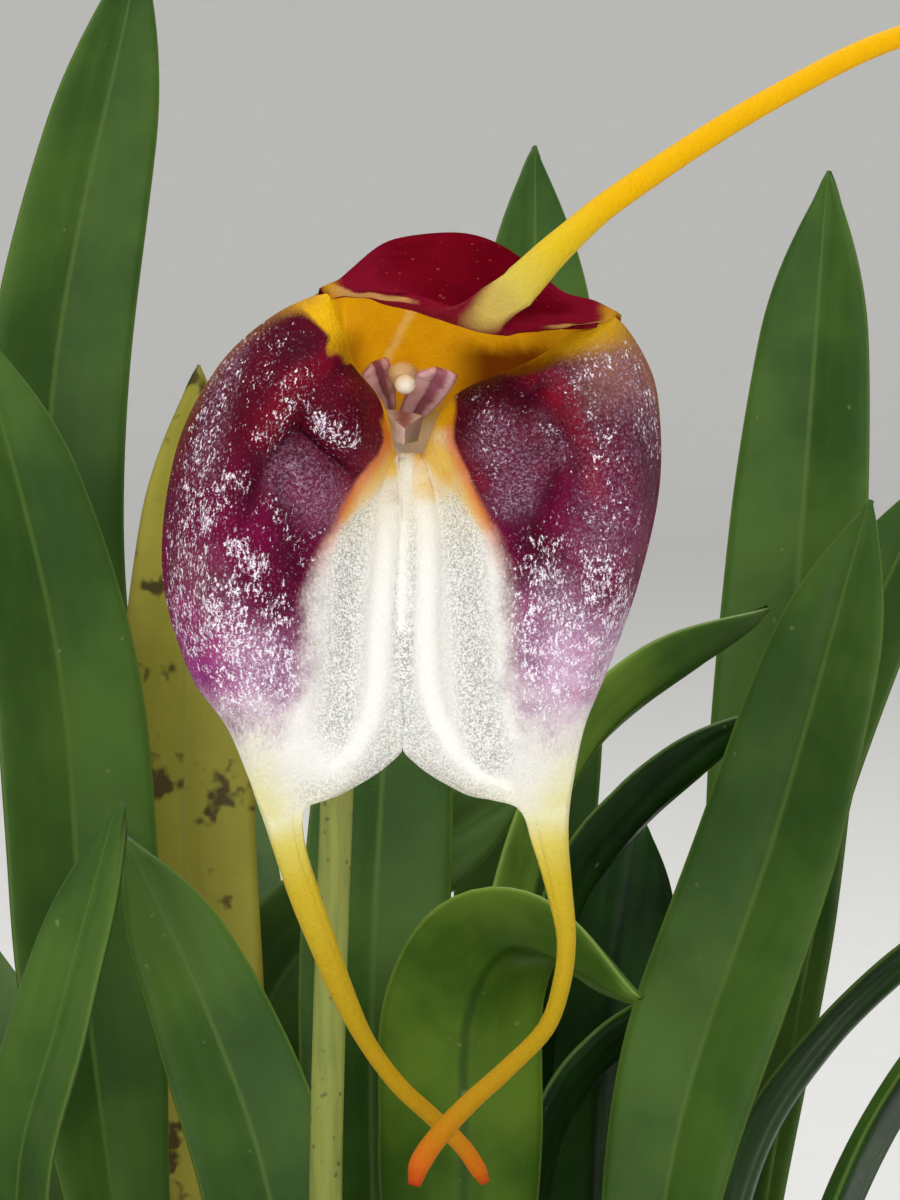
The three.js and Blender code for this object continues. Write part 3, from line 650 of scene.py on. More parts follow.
print(len(WINE), "pads")

# %% Strokes
MARKS = {
    # Painted glints: where light glints on the pads' cells
    "frost": [
        ([(-8.3, 6.3), (-9.7, 4.6), (-10.4, 1.7), (-11, -1.2)], 1.1, 0.52),
        ([(-10.8, -0.6), (-11.2, -3.4), (-11.6, -5.6)], 1.25, 0.66), ([(-9.4, -2.8), (-10.8, -5.2)], 0.6, 0.9),
        ([(-11.9, -6), (-12, -7.4), (-12.5, -9.6), (-11.1, -12)], 0.9, 0.6), ([(-7.2, 5.2), (-7.9, 2.4)], 0.9, 0.3),
        ([(-5.9, 2.7), (-7.6, -0.5)], 0.55, 0.62), ([(-5.2, 1.6), (-4.8, 1)], 0.39, 0.8),
        ([(-4.4, 0.7), (-3.3, -0.3)], 0.6, 0.95), ([(-9.4, -6.3), (-8.2, -7.6)], 0.72, 0.85),
        ([(-11.1, -6.1), (-10.9, -8.3), (-11.2, -11.1)], 0.6, 0.5),
        ([(-10, -9.4), (-9.1, -11.8), (-8.7, -14.6)], 1.3, 0.7),
        ([(-7.9, -9), (-7.1, -12.4), (-6.6, -15.2)], 1.1, 0.6),
        ([(-7.5, -3.9), (-5.7, -7.3)], 0.6, 0.4), ([(4.7, 1.1), (5.2, -0.6), (5.1, -2.2)], 0.7, 0.42),
        ([(8, 0.3), (8.9, -0.1)], 0.39, 0.55), ([(11.1, 4.4), (10.6, 3.5), (10, 2.2)], 0.9, 0.56),
        ([(12.7, 4.6), (13.5, 2.5), (13.9, -1)], 0.9, 0.5), ([(11.1, 0.6), (11.5, -2.2), (12, -5)], 1.1, 0.4),
        ([(11.8, -8.2), (12.1, -11.8)], 0.8, 0.8), ([(8, -7.3), (9.4, -10.7), (8.9, -14.6)], 1.5, 0.6),
        ([(10.6, -7.3), (11.1, -10.7), (10.3, -13.4)], 1.1, 0.6), ([(7.2, -10.1), (7.8, -15.2)], 1.0, 0.6),
    ],
    # Painted grey sheen: broad greyish highlights on the pads' bulges
    "haze": [
        ([(-6.2, -2.2), (-4.7, -3.7)], 1.35, 0.85),
        ([(-9.2, 4.5), (-10.1, 1.7), (-10.8, -2.2)], 0.79, 0.6),
        ([(5.4, -0.5), (6.8, -1.6), (6.4, -3.5)], 1.2, 0.95), ([(8, 0), (8.9, -1.1)], 0.79, 0.7),
        ([(11.1, 1.7), (12, -1.1), (11.1, -6.2)], 1.46, 0.55), ([(10, 4), (12.4, 3.2), (13.2, 0.8)], 1.6, 0.8),
        ([(8.9, -9.6), (10.3, -14.1)], 1.69, 0.7), ([(7.8, -11.8), (8, -15.7)], 1.35, 0.6),
        ([(-8.5, -12.4), (-7.1, -15.5)], 1.46, 0.7), ([(-11.1, -7.3), (-9.4, -11.8)], 1.12, 0.25),
    ],
    "red": [
        ([(-4, 4.2), (-5.7, 2.8), (-7.9, -0.1)], 0.67, 0.8),
        ([(-3.3, 3), (-1.3, 1.8), (-1.3, -0.3), (-2.9, -2.5)], 0.67, 0.55),
        ([(-3.6, -3.5), (-2.2, -2.4)], 0.34, 0.9),
        ([(8.7, 2.9), (9.7, 1), (10.7, -1.6), (11, -3.4)], 0.39, 1), ([(7.4, 2.6), (8.9, 1.7)], 0.67, 0.9),
        ([(3.4, 1.1), (3.6, -0.9), (4.7, -3)], 0.39, 0.8), ([(-11.4, -7.3), (-10.5, -11.8)], 0.9, 0.4),
    ],
    # Painted shade in the pads' creases and folds, and along the lobes' borders
    "deep": [
        ([(-5.2, -0.1), (-3.4, -1.8), (-2.4, -2.6)], 0.42, 0.9),
        ([(-5.6, -1.5), (-6.8, -2.8), (-6.9, -4.2)], 0.4, 0.9),
        ([(-3.5, 3.4), (-1.6, 2.9), (-0.9, 1.6)], 0.5, 0.8), ([(3.5, 0.2), (4, 1.7), (5.4, 2.2), (7, 1.4)], 0.8, 0.9),
        ([(5.6, 2.5), (7, 1.8), (8, 2.4)], 0.35, 0.9), ([(8.2, 0.6), (8.7, -1.4), (8.4, -3.6)], 0.4, 0.7),
        ([(-6, 0.3), (-7.9, -1.8), (-8.9, -4.2)], 0.67, 0.7),
        ([(-6.7, -4.8), (-6.3, -7.3), (-7.1, -9.6)], 0.9, 0.7),
        ([(6.9, -4.4), (7.8, -7.3), (8, -9)], 1.12, 0.95), ([(13.5, 0), (13.7, -3.4)], 0.9, 0.6),
        ([(3.8, 2.1), (6.1, 2.4), (8, 1.2)], 0.51, 0.7), ([(-6.3, 5.6), (-5.7, 4.4)], 1.01, 0.5),
        ([(-12.9, -2.2), (-13, -5.1)], 0.45, 0.5),
    ],
    "gold": [
        ([(-0.8, -0.2), (-0.9, -2)], 0.8, 1), ([(-0.95, -1.1), (-2.3, -3), (-3.6, -4.4)], 0.6, 0.85),
        ([(0.9, -0.85), (2.1, -1.2), (3.1, -2.3)], 0.9, 1), ([(3.1, -2.3), (4.1, -3.7), (4.9, -5.1)], 0.6, 0.8),
        ([(0.9, -1), (1.1, -2.4), (1.4, -3.6)], 0.7, 0.6), ([(2.1, -2.3), (2.2, -3.3)], 0.9, 0.4),
    ],
    "grey": [
        ([(-3, -4.6), (-3.2, -9.6), (-3.6, -16.8)], 1.1, 0.9), ([(-3.4, -6.7), (-3.5, -11)], 0.7, 1),
        ([(3.4, -4.2), (3.8, -9.6), (4.4, -15.2), (4.9, -18.2)], 1.15, 0.9),
        ([(0.3, -2.4), (0.3, -9.6), (0.2, -15.2), (0, -18.5)], 0.8, 0.5), ([(0.1, -10.7), (0.1, -14)], 0.75, 1),
        # These two thin strokes paint shade along the keels' inner flanks
        ([(-0.45, -3.9), (-0.6, -7.3), (-0.85, -11.2)], 0.2, 0.9),
        ([(1.05, -5), (1, -8.4), (0.85, -11.8)], 0.2, 0.8),
        ([(0, -15.2), (-1.2, -18.5), (-2.9, -20.2), (-5, -20.8)], 0.9, 0.7),
        ([(0.1, -15.2), (1.3, -18.5), (3, -20), (5, -20.8)], 0.9, 0.7),
    ],
    "bright": [
        ([(-0.6, -4.5), (-0.9, -7.4), (-1.2, -11.2), (-1.35, -14.3), (-1.8, -16.3), (-2.8, -18.1), (-3.8, -18.8)],
         0.3, 1),
        ([(0.9, -2.8), (1.35, -5.45), (1.4, -8.3), (1.3, -11.2), (1.4, -14), (2, -16.2), (3, -18.1), (4.4, -19.4),
          (6, -20)], 0.3, 1),
        ([(0.1, -5.2), (0.05, -7.3), (0, -11)], 0.34, 0.9), ([(-5.3, -8.2), (-5.6, -12.4), (-6, -16.3)], 0.45, 0.7),
        ([(5.5, -7.3), (6, -12.9), (6.4, -16.9)], 0.45, 0.6), ([(-6.3, -17.6), (-4, -18.6)], 1, 0.5),
    ],
    "bridge": [([(0.2, -0.6), (0.2, -2.4), (0.2, -4.5)], 0.5, 1)],
    "magenta": [
        ([(9.4, -14.8), (10.7, -14.6)], 0.45, 1), ([(-10.2, -11.8), (-9.3, -14.1)], 0.79, 0.5),
        ([(7.5, -9.6), (6.6, -11.8)], 0.79, 0.4), ([(10, -11.8), (10.6, -13.5)], 0.45, 0.5),
        ([(-11.9, -9.6), (-11.1, -12.4)], 0.56, 0.5),
    ],
}
print(sum(map(len, MARKS.values())), "strokes")

# %% Folds
# Strokes that raise the flesh towards the viewer, or sink it, by their last number in mm
FOLDS = [
    ([(-5.5, 3.3), (-7.4, 0), (-9.1, -2.9), (-10.1, -6.2), (-10.7, -9.6)], 0.51, 0.42),
    ([(-5.8, 0.3), (-7.9, -1.9), (-8.8, -4.2), (-9.1, -5.3)], 0.51, -0.34),
    ([(-4.5, 1.5), (-3, 0)], 1.35, 0.62), ([(-5.6, 0), (-3.4, -1.9)], 0.4, -0.4),
    ([(-6.1, -2.5), (-4.7, -3.5)], 1.07, 0.4), ([(-8.7, -7), (-8.7, -7.1)], 0.84, 0.3),
    ([(-6.6, -5.5), (-6, -7.9)], 0.62, -0.3), ([(-8.4, -10.7), (-7.5, -14.1)], 1.01, 0.22),
    ([(4.4, 0.6), (5.8, -2.2)], 1.35, 0.6), ([(5.6, 2.4), (7, 1.6), (8.1, 2.2)], 0.4, -0.35),
    ([(8.8, 2.7), (9.8, 0.3), (10.7, -2), (11.1, -5.1), (10.7, -9.6)], 0.39, 0.34),
    ([(7.5, -3.9), (8.1, -7.3), (7.8, -9.6)], 0.84, -0.4), ([(8.9, 0), (9.2, -2.2)], 0.45, -0.2),
    ([(12.7, -0.6), (12.8, -3.9)], 0.84, 0.2), ([(9.6, -10.7), (9.6, -14.6)], 1.01, 0.2),
    ([(12, -8.2), (11.8, -11.8)], 0.39, 0.16),
    ([(-0.8, -1.1), (-1, -7.4), (-1.3, -11.2), (-1.45, -14.3), (-1.9, -16.3), (-2.9, -18.1)], 0.3, 0.3),
    ([(0.9, -1.2), (1.45, -5.45), (1.5, -8.3), (1.4, -11.2), (1.5, -14), (2.1, -16.2), (3.1, -18.1)], 0.3, 0.3),
    ([(0.2, -2), (0.2, -15)], 0.45, 0.14), ([(-2.6, -4), (-3.3, -15.2)], 0.9, -0.2),
    ([(2.8, -4), (3.7, -15.2)], 0.9, -0.2), ([(-3.9, 4.4), (-3.8, 4.3)], 0.34, 0.35),
]
print(len(FOLDS), "folds")


# %% Brush tools
def from_line(spots, points):
    """How far each spot is from a line of straight pieces."""
    nearest = np.full(len(spots), 1e9)
    for start, end in zip(np.array(points), np.array(points[1:])):
        run = end - start
        share = np.clip((spots - start) @ run / max(run @ run, 1e-9), 0, 1)
        nearest = np.minimum(nearest, np.linalg.norm(spots - start - share[:, None] * run, axis=1))
    return nearest


def inside_by(spots, outline):
    """How far each spot is inside a closed outline; less than 0 outside it."""
    inside = np.zeros(len(spots), bool)
    x, y = spots.T
    for (x0, y0), (x1, y1) in zip(outline, outline[1:] + outline[:1]):
        crossed = (y0 > y) != (y1 > y)
        inside ^= crossed & (x < x0 + (y - y0) / (y1 - y0 if y1 != y0 else 1) * (x1 - x0))
    away = from_line(spots, outline + outline[:1])
    return np.where(inside, away, -away)


def smooth_outline(points, steps=4):
    """A closed outline with its corners rounded."""
    ring = points[-2:] + points + points[:3]
    spans = range(2 * steps, (len(points) + 2) * steps)
    return [tuple(curve_at(ring, i / steps / (len(ring) - 1))) for i in spans]


def smooth(values, low, high):
    """The same as rise, for a whole array."""
    shares = np.clip((values - low) / (high - low), 0, 1)
    return shares * shares * (3 - 2 * shares)


def brushed(spots, strokes):
    """The strongest stroke at each spot, soft at its edges."""
    touches = [s * (1 - smooth(from_line(spots, points), half * 0.2, half * 1.8)) for points, half, s in strokes]
    return np.max(touches, axis=0)


def folded(spots):
    """The sum of the folds at each spot."""
    return sum(high * np.exp(-((from_line(spots, points) / half) ** 2)) for points, half, high in FOLDS)


print("brush tools ready")

# %% [markdown]
# ## The calyx: flesh
# A real sepal is translucent and covered in tiny glistening cells. Its inner face goes from a golden throat over
# a wine pad or a white middle to yellow, then orange tails. It could be painted on an image, but nodes stay sharp
# at any distance. Each border is a smooth step on one of the kept numbers, or on the height or the side from
# BLOOM, with a little noise less 0.5 added so that it isn't drawn with a ruler.
#
# First come the tails. Each runs through a colour ramp from its root to its tip.

# %% Tail colours
# Shares of a tail's length, each with the colour there
SIDE_TAIL = [
    (0, 234, 232, 212), (0.04, 226, 220, 170), (0.1, 214, 198, 96), (0.18, 200, 174, 46), (0.32, 186, 156, 30),
    (0.5, 174, 142, 20), (0.72, 176, 128, 16), (0.9, 196, 100, 18), (1, 180, 62, 16),
]
TOP_TAIL = [
    (0, 196, 170, 84), (0.06, 206, 186, 76), (0.15, 218, 184, 30), (0.3, 232, 178, 2), (0.7, 240, 178, 2),
    (1, 236, 160, 4),
]


def tail_colour(finish, tail, crown):
    """From the blade's colour through pale yellow to orange, along a side tail or the top one."""
    side, top = (
        finish.node("ValToRGB", {"stops": [(at, paint(*colour)) for at, *colour in stops]}, (tail,))
        for stops in (SIDE_TAIL, TOP_TAIL)
    )
    return finish.blend(crown, side, top)


print(len(SIDE_TAIL) + len(TOP_TAIL), "tail colours")

# %% [markdown]
# The inner face is built up like a painting: the golden throat with its painted shadows, its painted glints and
# its pale vein, the white middle, the wine pads with their tints, painted shade in their creases and a painted
# grey sheen, and last the painted glints that sparkle on them. A soft noise shifts the borders, and finer ones, one
# of them drawn out downwards, make the grain. A little subsurface light softens it all. The throat also glows
# faintly: painted light, as thin flesh glows with light behind it. The glow is kept weak, because a bright mesh
# of so many faces counts as a lamp and slows the render.

# %% Inner face of the calyx: places and pads
inside = Finish(
    "sepal_inside", Subsurface_Weight=0.1, Subsurface_Scale=0.0008, Specular_IOR_Level=0.06, Emission_Strength=0.4,
)
side, height = inside.from_bloom("X"), inside.from_bloom("Z")
row, wine, rim, tail, crown = (inside.attribute(name) for name in ("row", "wine", "rim", "tail", "crown"))
mark = {name: inside.attribute(name) for name in MARKS}
cloud = inside.noise(1.6, 4)
grain = inside.noise(0.2, 3, 0.75)
fine = inside.noise(0.12, 2, 0.7, shift=5)
streak = inside.noise(0.16 * MM, 3, 0.65, place=inside.stretched(1, 1, 0.45))
drift, speck, run = cloud - 0.5, grain - 0.5, streak - 0.5

low = inside.rise(height, -2, -13)
edge = wine + drift * (0.3 + low * 1.6) + speck * (0.1 + low * 1.8)
fade = inside.rise(height + drift * 4 + run * 5, -18.6, -14)
shoulder = inside.rise(abs(side - 1.5), 6, 9) * inside.rise(height, 1.5, 3.5)
pad = inside.rise((edge + run * shoulder) / (low * 1.1 + shoulder * 0.8 + 0.14), -1, 1) * fade
print("the pads are drawn")

# %% Inner face of the calyx: throat and middle
gold = inside.blend(cloud, paint(222, 160, 8), paint(240, 192, 16))
# Painted light in the throat: shadows on both sides, pale specks for glints and a browner right side in shade
shadow = inside.rise(side + drift, 1.8, 5) * inside.rise(height + drift, 5, 3.4)
shadow = shadow + inside.rise(side, -1.6, -3.4) * inside.rise(height, 6, 4.2) * 0.6
gold = inside.blend(inside.rise(fine, 0.58, 0.72) * 0.3, gold, paint(255, 232, 140))
gold = inside.blend(inside.rise(side + drift * 2, 5, 9) * 0.5, gold, paint(146, 108, 14))
gold = inside.blend(shadow * 0.95, gold, paint(98, 38, 4))
vein = inside.rise(abs(side - (height - 3) * 0.5 + 1.2 + drift * 0.6), 0.5, 0)
gold = inside.blend(vein * inside.rise(height, 2.2, 3.4) * 0.4, gold, paint(248, 232, 160))
floor_tone = inside.blend(inside.rise(height, -1.4, 0.4), paint(222, 216, 198), paint(184, 164, 84))
gold = inside.blend(inside.rise(height + drift, 1.4, -0.4) * inside.rise(row, 0, -0.5), gold, floor_tone)
speckle = inside.rise(fine + speck * 0.5, 0.36, 0.62)
white = inside.blend(speckle, paint(158, 158, 154), paint(246, 245, 240))
white = inside.blend(0.12 + mark["grey"] * 0.8, paint(236, 233, 227), white)
white = inside.blend(mark["bright"] * 0.9, white, paint(252, 251, 245))
cream = inside.blend(inside.rise(height, -9, -2) * 0.3, white, paint(232, 214, 150))
honey = inside.rise(mark["gold"] + speck * 0.5 + drift * 0.8, 0.05, 1.1)
cream = inside.blend(honey * 0.9, cream, inside.blend(cloud, paint(224, 162, 32), paint(238, 204, 84)))
cream = inside.blend(inside.rise(row, 0.4, -0.1), cream, gold)
cream = inside.blend(inside.rise(height + drift, -0.9, 0.5), cream, gold)
cream = inside.blend(mark["bridge"], cream, paint(236, 232, 214))
flare = inside.rise(height + drift * 3, -15.5, -22) * inside.rise(abs(side - 0.6), 6.2, 9.2)
flare = flare + inside.rise(height, -19, -22.5) * 0.6
cream = inside.blend(flare * 0.9, cream, paint(222, 216, 160))
limb = inside.rise(row + drift * 0.3, 0.02, 0.25) * crown
turned = inside.rise(row + drift * 0.8 - inside.attribute("edge") * 1.1, 1.5, 2.7)
ruffle = inside.blend(turned, paint(116, 12, 30), paint(196, 170, 84))
cream = inside.blend(limb, cream, ruffle)
fringe = inside.rise(wine, -0.9, -0.05) * inside.rise(height, -9.5, -4) * inside.rise(height, 1.6, -0.6)
cream = inside.blend(fringe * 0.8, cream, paint(216, 96, 30))
print("the throat and the middle are coloured")

# %% Inner face of the calyx: wine, painted shade, sheen and glints
purple = inside.blend(inside.rise(height, 1, -6), paint(88, 2, 28), paint(112, 4, 58))
purple = inside.blend(inside.rise(height, -8, -16), purple, paint(160, 58, 136))
purple = inside.blend(inside.rise(height, -9, -15) * inside.rise(side, 7, 9) * 0.85, purple, paint(224, 184, 216))
tan = inside.rise(side + drift * 2, 8.5, 11.5) * inside.rise(height + drift * 2, 0, 3.5)
purple = inside.blend(tan * 0.6, purple, paint(168, 116, 84))
purple = inside.blend(mark["red"] * 0.8, purple, paint(134, 8, 36))
# Painted shade in the creases and folds of the pads
purple = inside.blend(mark["deep"] * 0.75, purple, paint(58, 2, 24))
purple = inside.blend(mark["magenta"] * 0.8, purple, paint(176, 30, 130))
purple = inside.blend(inside.rise(cloud, 0.35, 0.7) * 0.45, purple, paint(58, 2, 26))
# A painted grey sheen, lighter lower down
painted_sheen = mark["haze"] * (0.08 + low * 0.3 + inside.rise(grain + (fine - 0.5) * 0.6, 0.42, 0.66) * 0.7)
purple = inside.blend(painted_sheen, purple, inside.blend(low, paint(166, 128, 154), paint(214, 186, 212)))
# Painted glints: bright specks and streaks, and a fine scatter of smaller ones
patch = inside.noise(0.9, 2, shift=9) - 0.5
sparkle = mark["frost"] * 0.82 + low * 0.2 + patch * 1.7 + run * 3.2 + speck * 1.6
sparkle = inside.rise(sparkle, 0.62, 0.98) * inside.rise(fine, 0.32, 0.52)
glint_scatter = inside.rise(grain + (fine - 0.5) * 0.8 + mark["frost"] * 0.12, 0.64, 0.82) * 0.28
glint = inside.blend(inside.rise(fine + run, 0.45, 0.65), paint(206, 176, 206), paint(255, 250, 255))
purple = inside.blend(sparkle * 0.94 + glint_scatter, purple, glint)
print("the pads are coloured")

# %% Inner face of the calyx: put together
skin = inside.blend(pad, cream, purple)
skin = inside.blend(rim * inside.rise(height, -6, 5) * 0.5 * (1 - limb), skin, paint(150, 104, 60))
skin = inside.blend(inside.rise(tail, 0, 0.05), skin, tail_colour(inside, tail, crown))
# Painted light: the throat glows with its own gold, more towards the top, where no pad lies
glow = inside.rise(row, 0.3, -0.5) * (1 - pad) * (0.4 + inside.rise(height + drift * 4, 0, 6) * 0.5)
glow = inside.blend(glow, (0, 0, 0, 1), gold)
inside.feed(Base_Color=skin, Roughness=0.5 - sparkle * pad * 0.2 - grain * 0.1, Emission_Color=glow)
papillae = inside.cells(0.22) * -0.6 + streak * pad * 0.9
inside.bump(papillae + cloud * 0.6 + grain * 0.4, 0.13, 0.7)
print(inside.material.name, "has", len(inside.tree.nodes), "nodes")

# %% [markdown]
# The outer face shows on the crimson dome above the mouth, and from behind. It is velvety, so it has no gloss at
# all, and tiny pale dots are painted highlights. The dome's middle carries a painted highlight and its left flank
# painted shade, the rim of the mouth is gilt, and two golden knobs mark the ends of the crown.

# %% Outer face of the calyx
outside = Finish("sepal_outside", Specular_IOR_Level=0)
row, wine, rim, tail, crown, knob = (
    outside.attribute(name) for name in ("row", "wine", "rim", "tail", "crown", "knob")
)
cloud = outside.noise(2.2, 4)
grain = outside.noise(0.25, 3)
side, height = outside.from_bloom("X"), outside.from_bloom("Z")
drift = cloud - 0.5
crimson = outside.blend(cloud, paint(66, 2, 10), paint(116, 6, 24))
lit = outside.rise(abs(side - 1.6 + drift * 3), 3.4, 0.4) * outside.rise(height, 6.5, 9)
crimson = outside.blend(lit * 0.14, crimson, paint(150, 20, 40))
ankle = outside.rise(row + drift * 0.5, 3.1, 4) * crown
crimson = outside.blend(ankle * 0.5, crimson, paint(136, 14, 48))
shade = outside.rise(side + drift * 2, -0.5, -3.4) * crown
crimson = outside.blend(shade * 0.5, crimson, paint(58, 6, 4))
# Painted highlights: tiny pale dots for glints on the velvet
dots = outside.rise(outside.cells(0.6), 0.22, 0.1) * outside.rise(grain, 0.45, 0.6)
crimson = outside.blend(dots * 0.3, crimson, paint(206, 110, 90))
blush = outside.blend(outside.rise(cloud, 0.3, 0.7), paint(226, 205, 160), paint(196, 120, 138))
blush = outside.blend(outside.rise(wine, -2.5, 1.5) * 0.6, blush, paint(160, 50, 90))
husk = outside.blend(outside.rise(row + drift, 0.3, 2.2) * (1 - crown), crimson, blush)
husk = outside.blend(outside.rise(tail, 0, 0.06), husk, tail_colour(outside, tail, crown))
flush = outside.rise(outside.attribute("edge") + drift * 0.3, 0.12, 0.5) * outside.rise(tail, 0.12, 0.02)
husk = outside.blend(flush * 0.9, husk, paint(120, 16, 36))
gilt = outside.rise(rim + (grain - 0.5) * 0.4, 0.35, 0.95)
husk = outside.blend(gilt * 0.8, husk, paint(200, 152, 88))
husk = outside.blend(knob * 0.9, husk, outside.blend(cloud, paint(170, 112, 14), paint(206, 156, 36)))
outside.feed(Base_Color=husk, Roughness=0.5 - grain * 0.12)
outside.bump(cloud * 0.6 + grain * 0.5, 0.06, 0.5)
print(outside.material.name, "has", len(outside.tree.nodes), "nodes")

# %% [markdown]
# ## The calyx: making it
# Now the three sheets are made. The last small moves could be sculpted once they are joined, but before that each
# vertex still knows its row, so a move can fade out towards the seams: FOLDS crease the pads, LOBES push a side
# sepal's edge aside near one spot of the picture, and the dome's right flank is lowered. Then the doubled seam
# vertices are merged, which closes the tube, and Solidify gives the flesh its thickness.

# %% Sheets of the calyx
ACROSS = {"left": 60, "right": 60, "top": 44}
STEPS = 14
TAIL_STEPS = 5
CROWN_ENDS = (-3.6, 11.2)
# Where a lobe is in the picture, and how far to the right it goes
LOBES = {"left": (-1, 0.9, -0.65), "right": (3.1, 0.6, 0.3)}
LOBE_SPREAD = 1.7
FLANK_X, FLANK_SPREAD, FLANK_DROP = 9.4, 2.6, 0.7
FAR_OUT = -5


def notes_at(which, u, row):
    """The numbers that a sheet's own shares give."""
    r = row - MOUTH
    start = len(ROWS[which]) - len(TAILS[which])
    top = which == "top"
    rim = bell(u, 1, 0.022) * rise(r, 0, 0.3)
    if top:
        rim = (bell(u, 1, 0.03) + bell(u, 0, 0.025)) * rise(r, -0.1, 0.1) * (1 - rise(r, 1, 1.8))
    tail = max(0, row - start) / (len(TAILS[which]) - 1)
    return {"row": r, "tail": tail, "crown": float(top), "rim": rim, "edge": top * (2 * u - 1) ** 2}


def sepal(which):
    """One sepal's sheet with its last moves, and the numbers that its finish reads."""
    blade = len(ROWS[which]) - len(TAILS[which])
    last = len(ROWS[which]) - 1
    steps = blade * STEPS + (last - blade) * TAIL_STEPS

    def row_at(v):
        step = round(v * steps)
        return step / STEPS if step <= blade * STEPS else blade + (step - blade * STEPS) / TAIL_STEPS

    def across(u):
        return 1 - u if which == "left" else u

    piece = sheet(
        f"sepal_{which}", ACROSS[which], steps,
        lambda u, v: np.array(sepal_place(which, across(u), row_at(v))) + np.array(BLOOM) / MM,
        lambda u, v: notes_at(which, across(u), row_at(v)),
        lambda u, v: sepal_half(which, across(u), row_at(v)),
    )
    places = np.array([vertex.co for vertex in piece.data.vertices])
    spots = seen((places - np.array(BLOOM)) / MM)
    rows = np.array([value.value for value in piece.data.attributes["row"].data])
    blade_only = smooth(rows, -0.45, 0.05) * (1 - smooth(rows, 6.5, 8)) * (which != "top")
    places[:, 1] -= folded(spots) * blade_only * MM
    x, z, aside = LOBES.get(which, (0, 0, 0))
    near = np.exp(-((spots[:, 0] - x) ** 2 + (spots[:, 1] - z) ** 2) / LOBE_SPREAD)
    places[:, 0] += aside * near * smooth(rows, -0.3, 0.3) * MM
    flank = np.exp(-(((spots[:, 0] - FLANK_X) / FLANK_SPREAD) ** 2)) * smooth(spots[:, 1], 6.3, 8.3)
    places[:, 2] -= FLANK_DROP * flank * (1 - smooth(rows, 3.9, 4)) * MM
    piece.data.vertices.foreach_set("co", places.ravel())
    pads = np.max([inside_by(spots, smooth_outline(outline)) for outline in WINE], axis=0)
    record(piece, "wine", mix(FAR_OUT, pads, blade_only))
    for name, strokes in MARKS.items():
        record(piece, name, brushed(spots, strokes) * blade_only)
    corner = np.maximum(1 - smooth(spots[:, 0], CROWN_ENDS[0] - 0.5, CROWN_ENDS[0] + 0.3),
                        smooth(spots[:, 0], CROWN_ENDS[1] - 0.3, CROWN_ENDS[1] + 0.5))
    record(piece, "knob", corner * (which == "top") * smooth(rows, -0.8, -0.3))
    return piece


print("steps across the sheets:", ACROSS)

# %% Join the calyx
calyx = join([sepal("left"), sepal("right"), sepal("top")], "calyx_flesh")
loose = len(calyx.data.vertices)
edit(calyx, ("remove_doubles", {"threshold": 0.004 * MM}))
print("merged", loose - len(calyx.data.vertices), "seam vertices")
flesh(coat(calyx, outside, inside))
dress(calyx, "sepal", "calyx")

# %% [markdown]
# ## Petals, lip and column
# Inside the mouth sit the small parts: two strap petals in a V, a fleshy lip with three facets, and the column,
# whose hood covers a cream cap. The petals are sheets again, each keeled along its middle.

# %% Petals
# Points of each petal's middle, its half width at each, and the direction across it
PETALS = {
    "right": (
        [(0.2, 10.6, -0.2), (0.5, 9.2, 0.4), (1.15, 8.2, 1.5), (1.65, 7.7, 2.4), (1.95, 7.3, 3.1)],
        [0.4, 0.75, 1.0, 1.2, 1.15], (0.95, 0.15, -0.3),
    ),
    "left": (
        [(-0.9, 10.6, 0.4), (-1.05, 9.2, 1.2), (-1.3, 8.4, 2), (-1.6, 7.9, 2.8), (-1.75, 7.6, 3.4)],
        [0.4, 0.6, 0.75, 0.9, 0.85], (0.95, 0.15, 0.3),
    ),
}


def petal(side):
    """A keeled strap whose end is rounded and a little askew."""
    points, halves, aside = PETALS[side]

    def place(u, v):
        run = unit(curve_at(points, min(1, v + 1e-3)) - curve_at(points, max(0, v - 1e-3)))
        across = unit(np.array(aside) - np.dot(aside, run) * run)
        behind = np.cross(run, across)
        half = curve_at([(h, 0, 0) for h in halves], v, 0)[0]
        half *= math.sqrt(1 - max(0, (v - 0.9) / 0.105) ** 3)
        w = (2 * u - 1) * half
        middle = curve_at(points, v) + run * 0.35 * w * rise(v, 0.5, 1) + np.array(BLOOM) / MM
        return middle + across * w + behind * (0.12 - 0.42 * abs(w) + 0.05 * math.sin(v * 17 + u * 3))

    piece = sheet(
        f"petal_{side}_flesh", 16, 36, place,
        lambda u, v: {"across": 2 * u - 1, "along": v},
        lambda u, v: 0.3 * (1 - 0.7 * bell(abs(2 * u - 1), 1, 0.2)) * (1 - 0.6 * bell(v, 1, 0.04)),
    )
    return flesh(coat(piece, mauve))


mauve = Finish("petal_mauve", Subsurface_Weight=0.1, Subsurface_Scale=0.0008)
across, along = mauve.attribute("across"), mauve.attribute("along")
cloud = mauve.noise(0.5, 4)
pink = mauve.blend(cloud, paint(220, 168, 184), paint(244, 214, 222))
pink = mauve.blend(mauve.rise(abs(across), 0.86, 1) * 0.5, pink, paint(160, 90, 120))
band = mauve.rise(abs(across - 0.25) + (cloud - 0.5) * 0.5, 0.62, 0.2)
pink = mauve.blend(band * 0.8, pink, paint(136, 40, 78))
mauve.feed(Base_Color=pink, Roughness=0.42 - cloud * 0.15)
mauve.bump(cloud + mauve.noise(0.15, 2), 0.06)
for side in PETALS:
    dress(petal(side), "petal", f"petal_{side}")

# %% [markdown]
# The lip could be carved from a cube, but its facets lie askew. So the cube's corners are replaced by the CAD
# lip's ten, which are wrapped in a convex hull, and the hull is bevelled and subdivided. Its finish tells the
# facets apart by the way that they face, and paints shade on the facet that faces right.

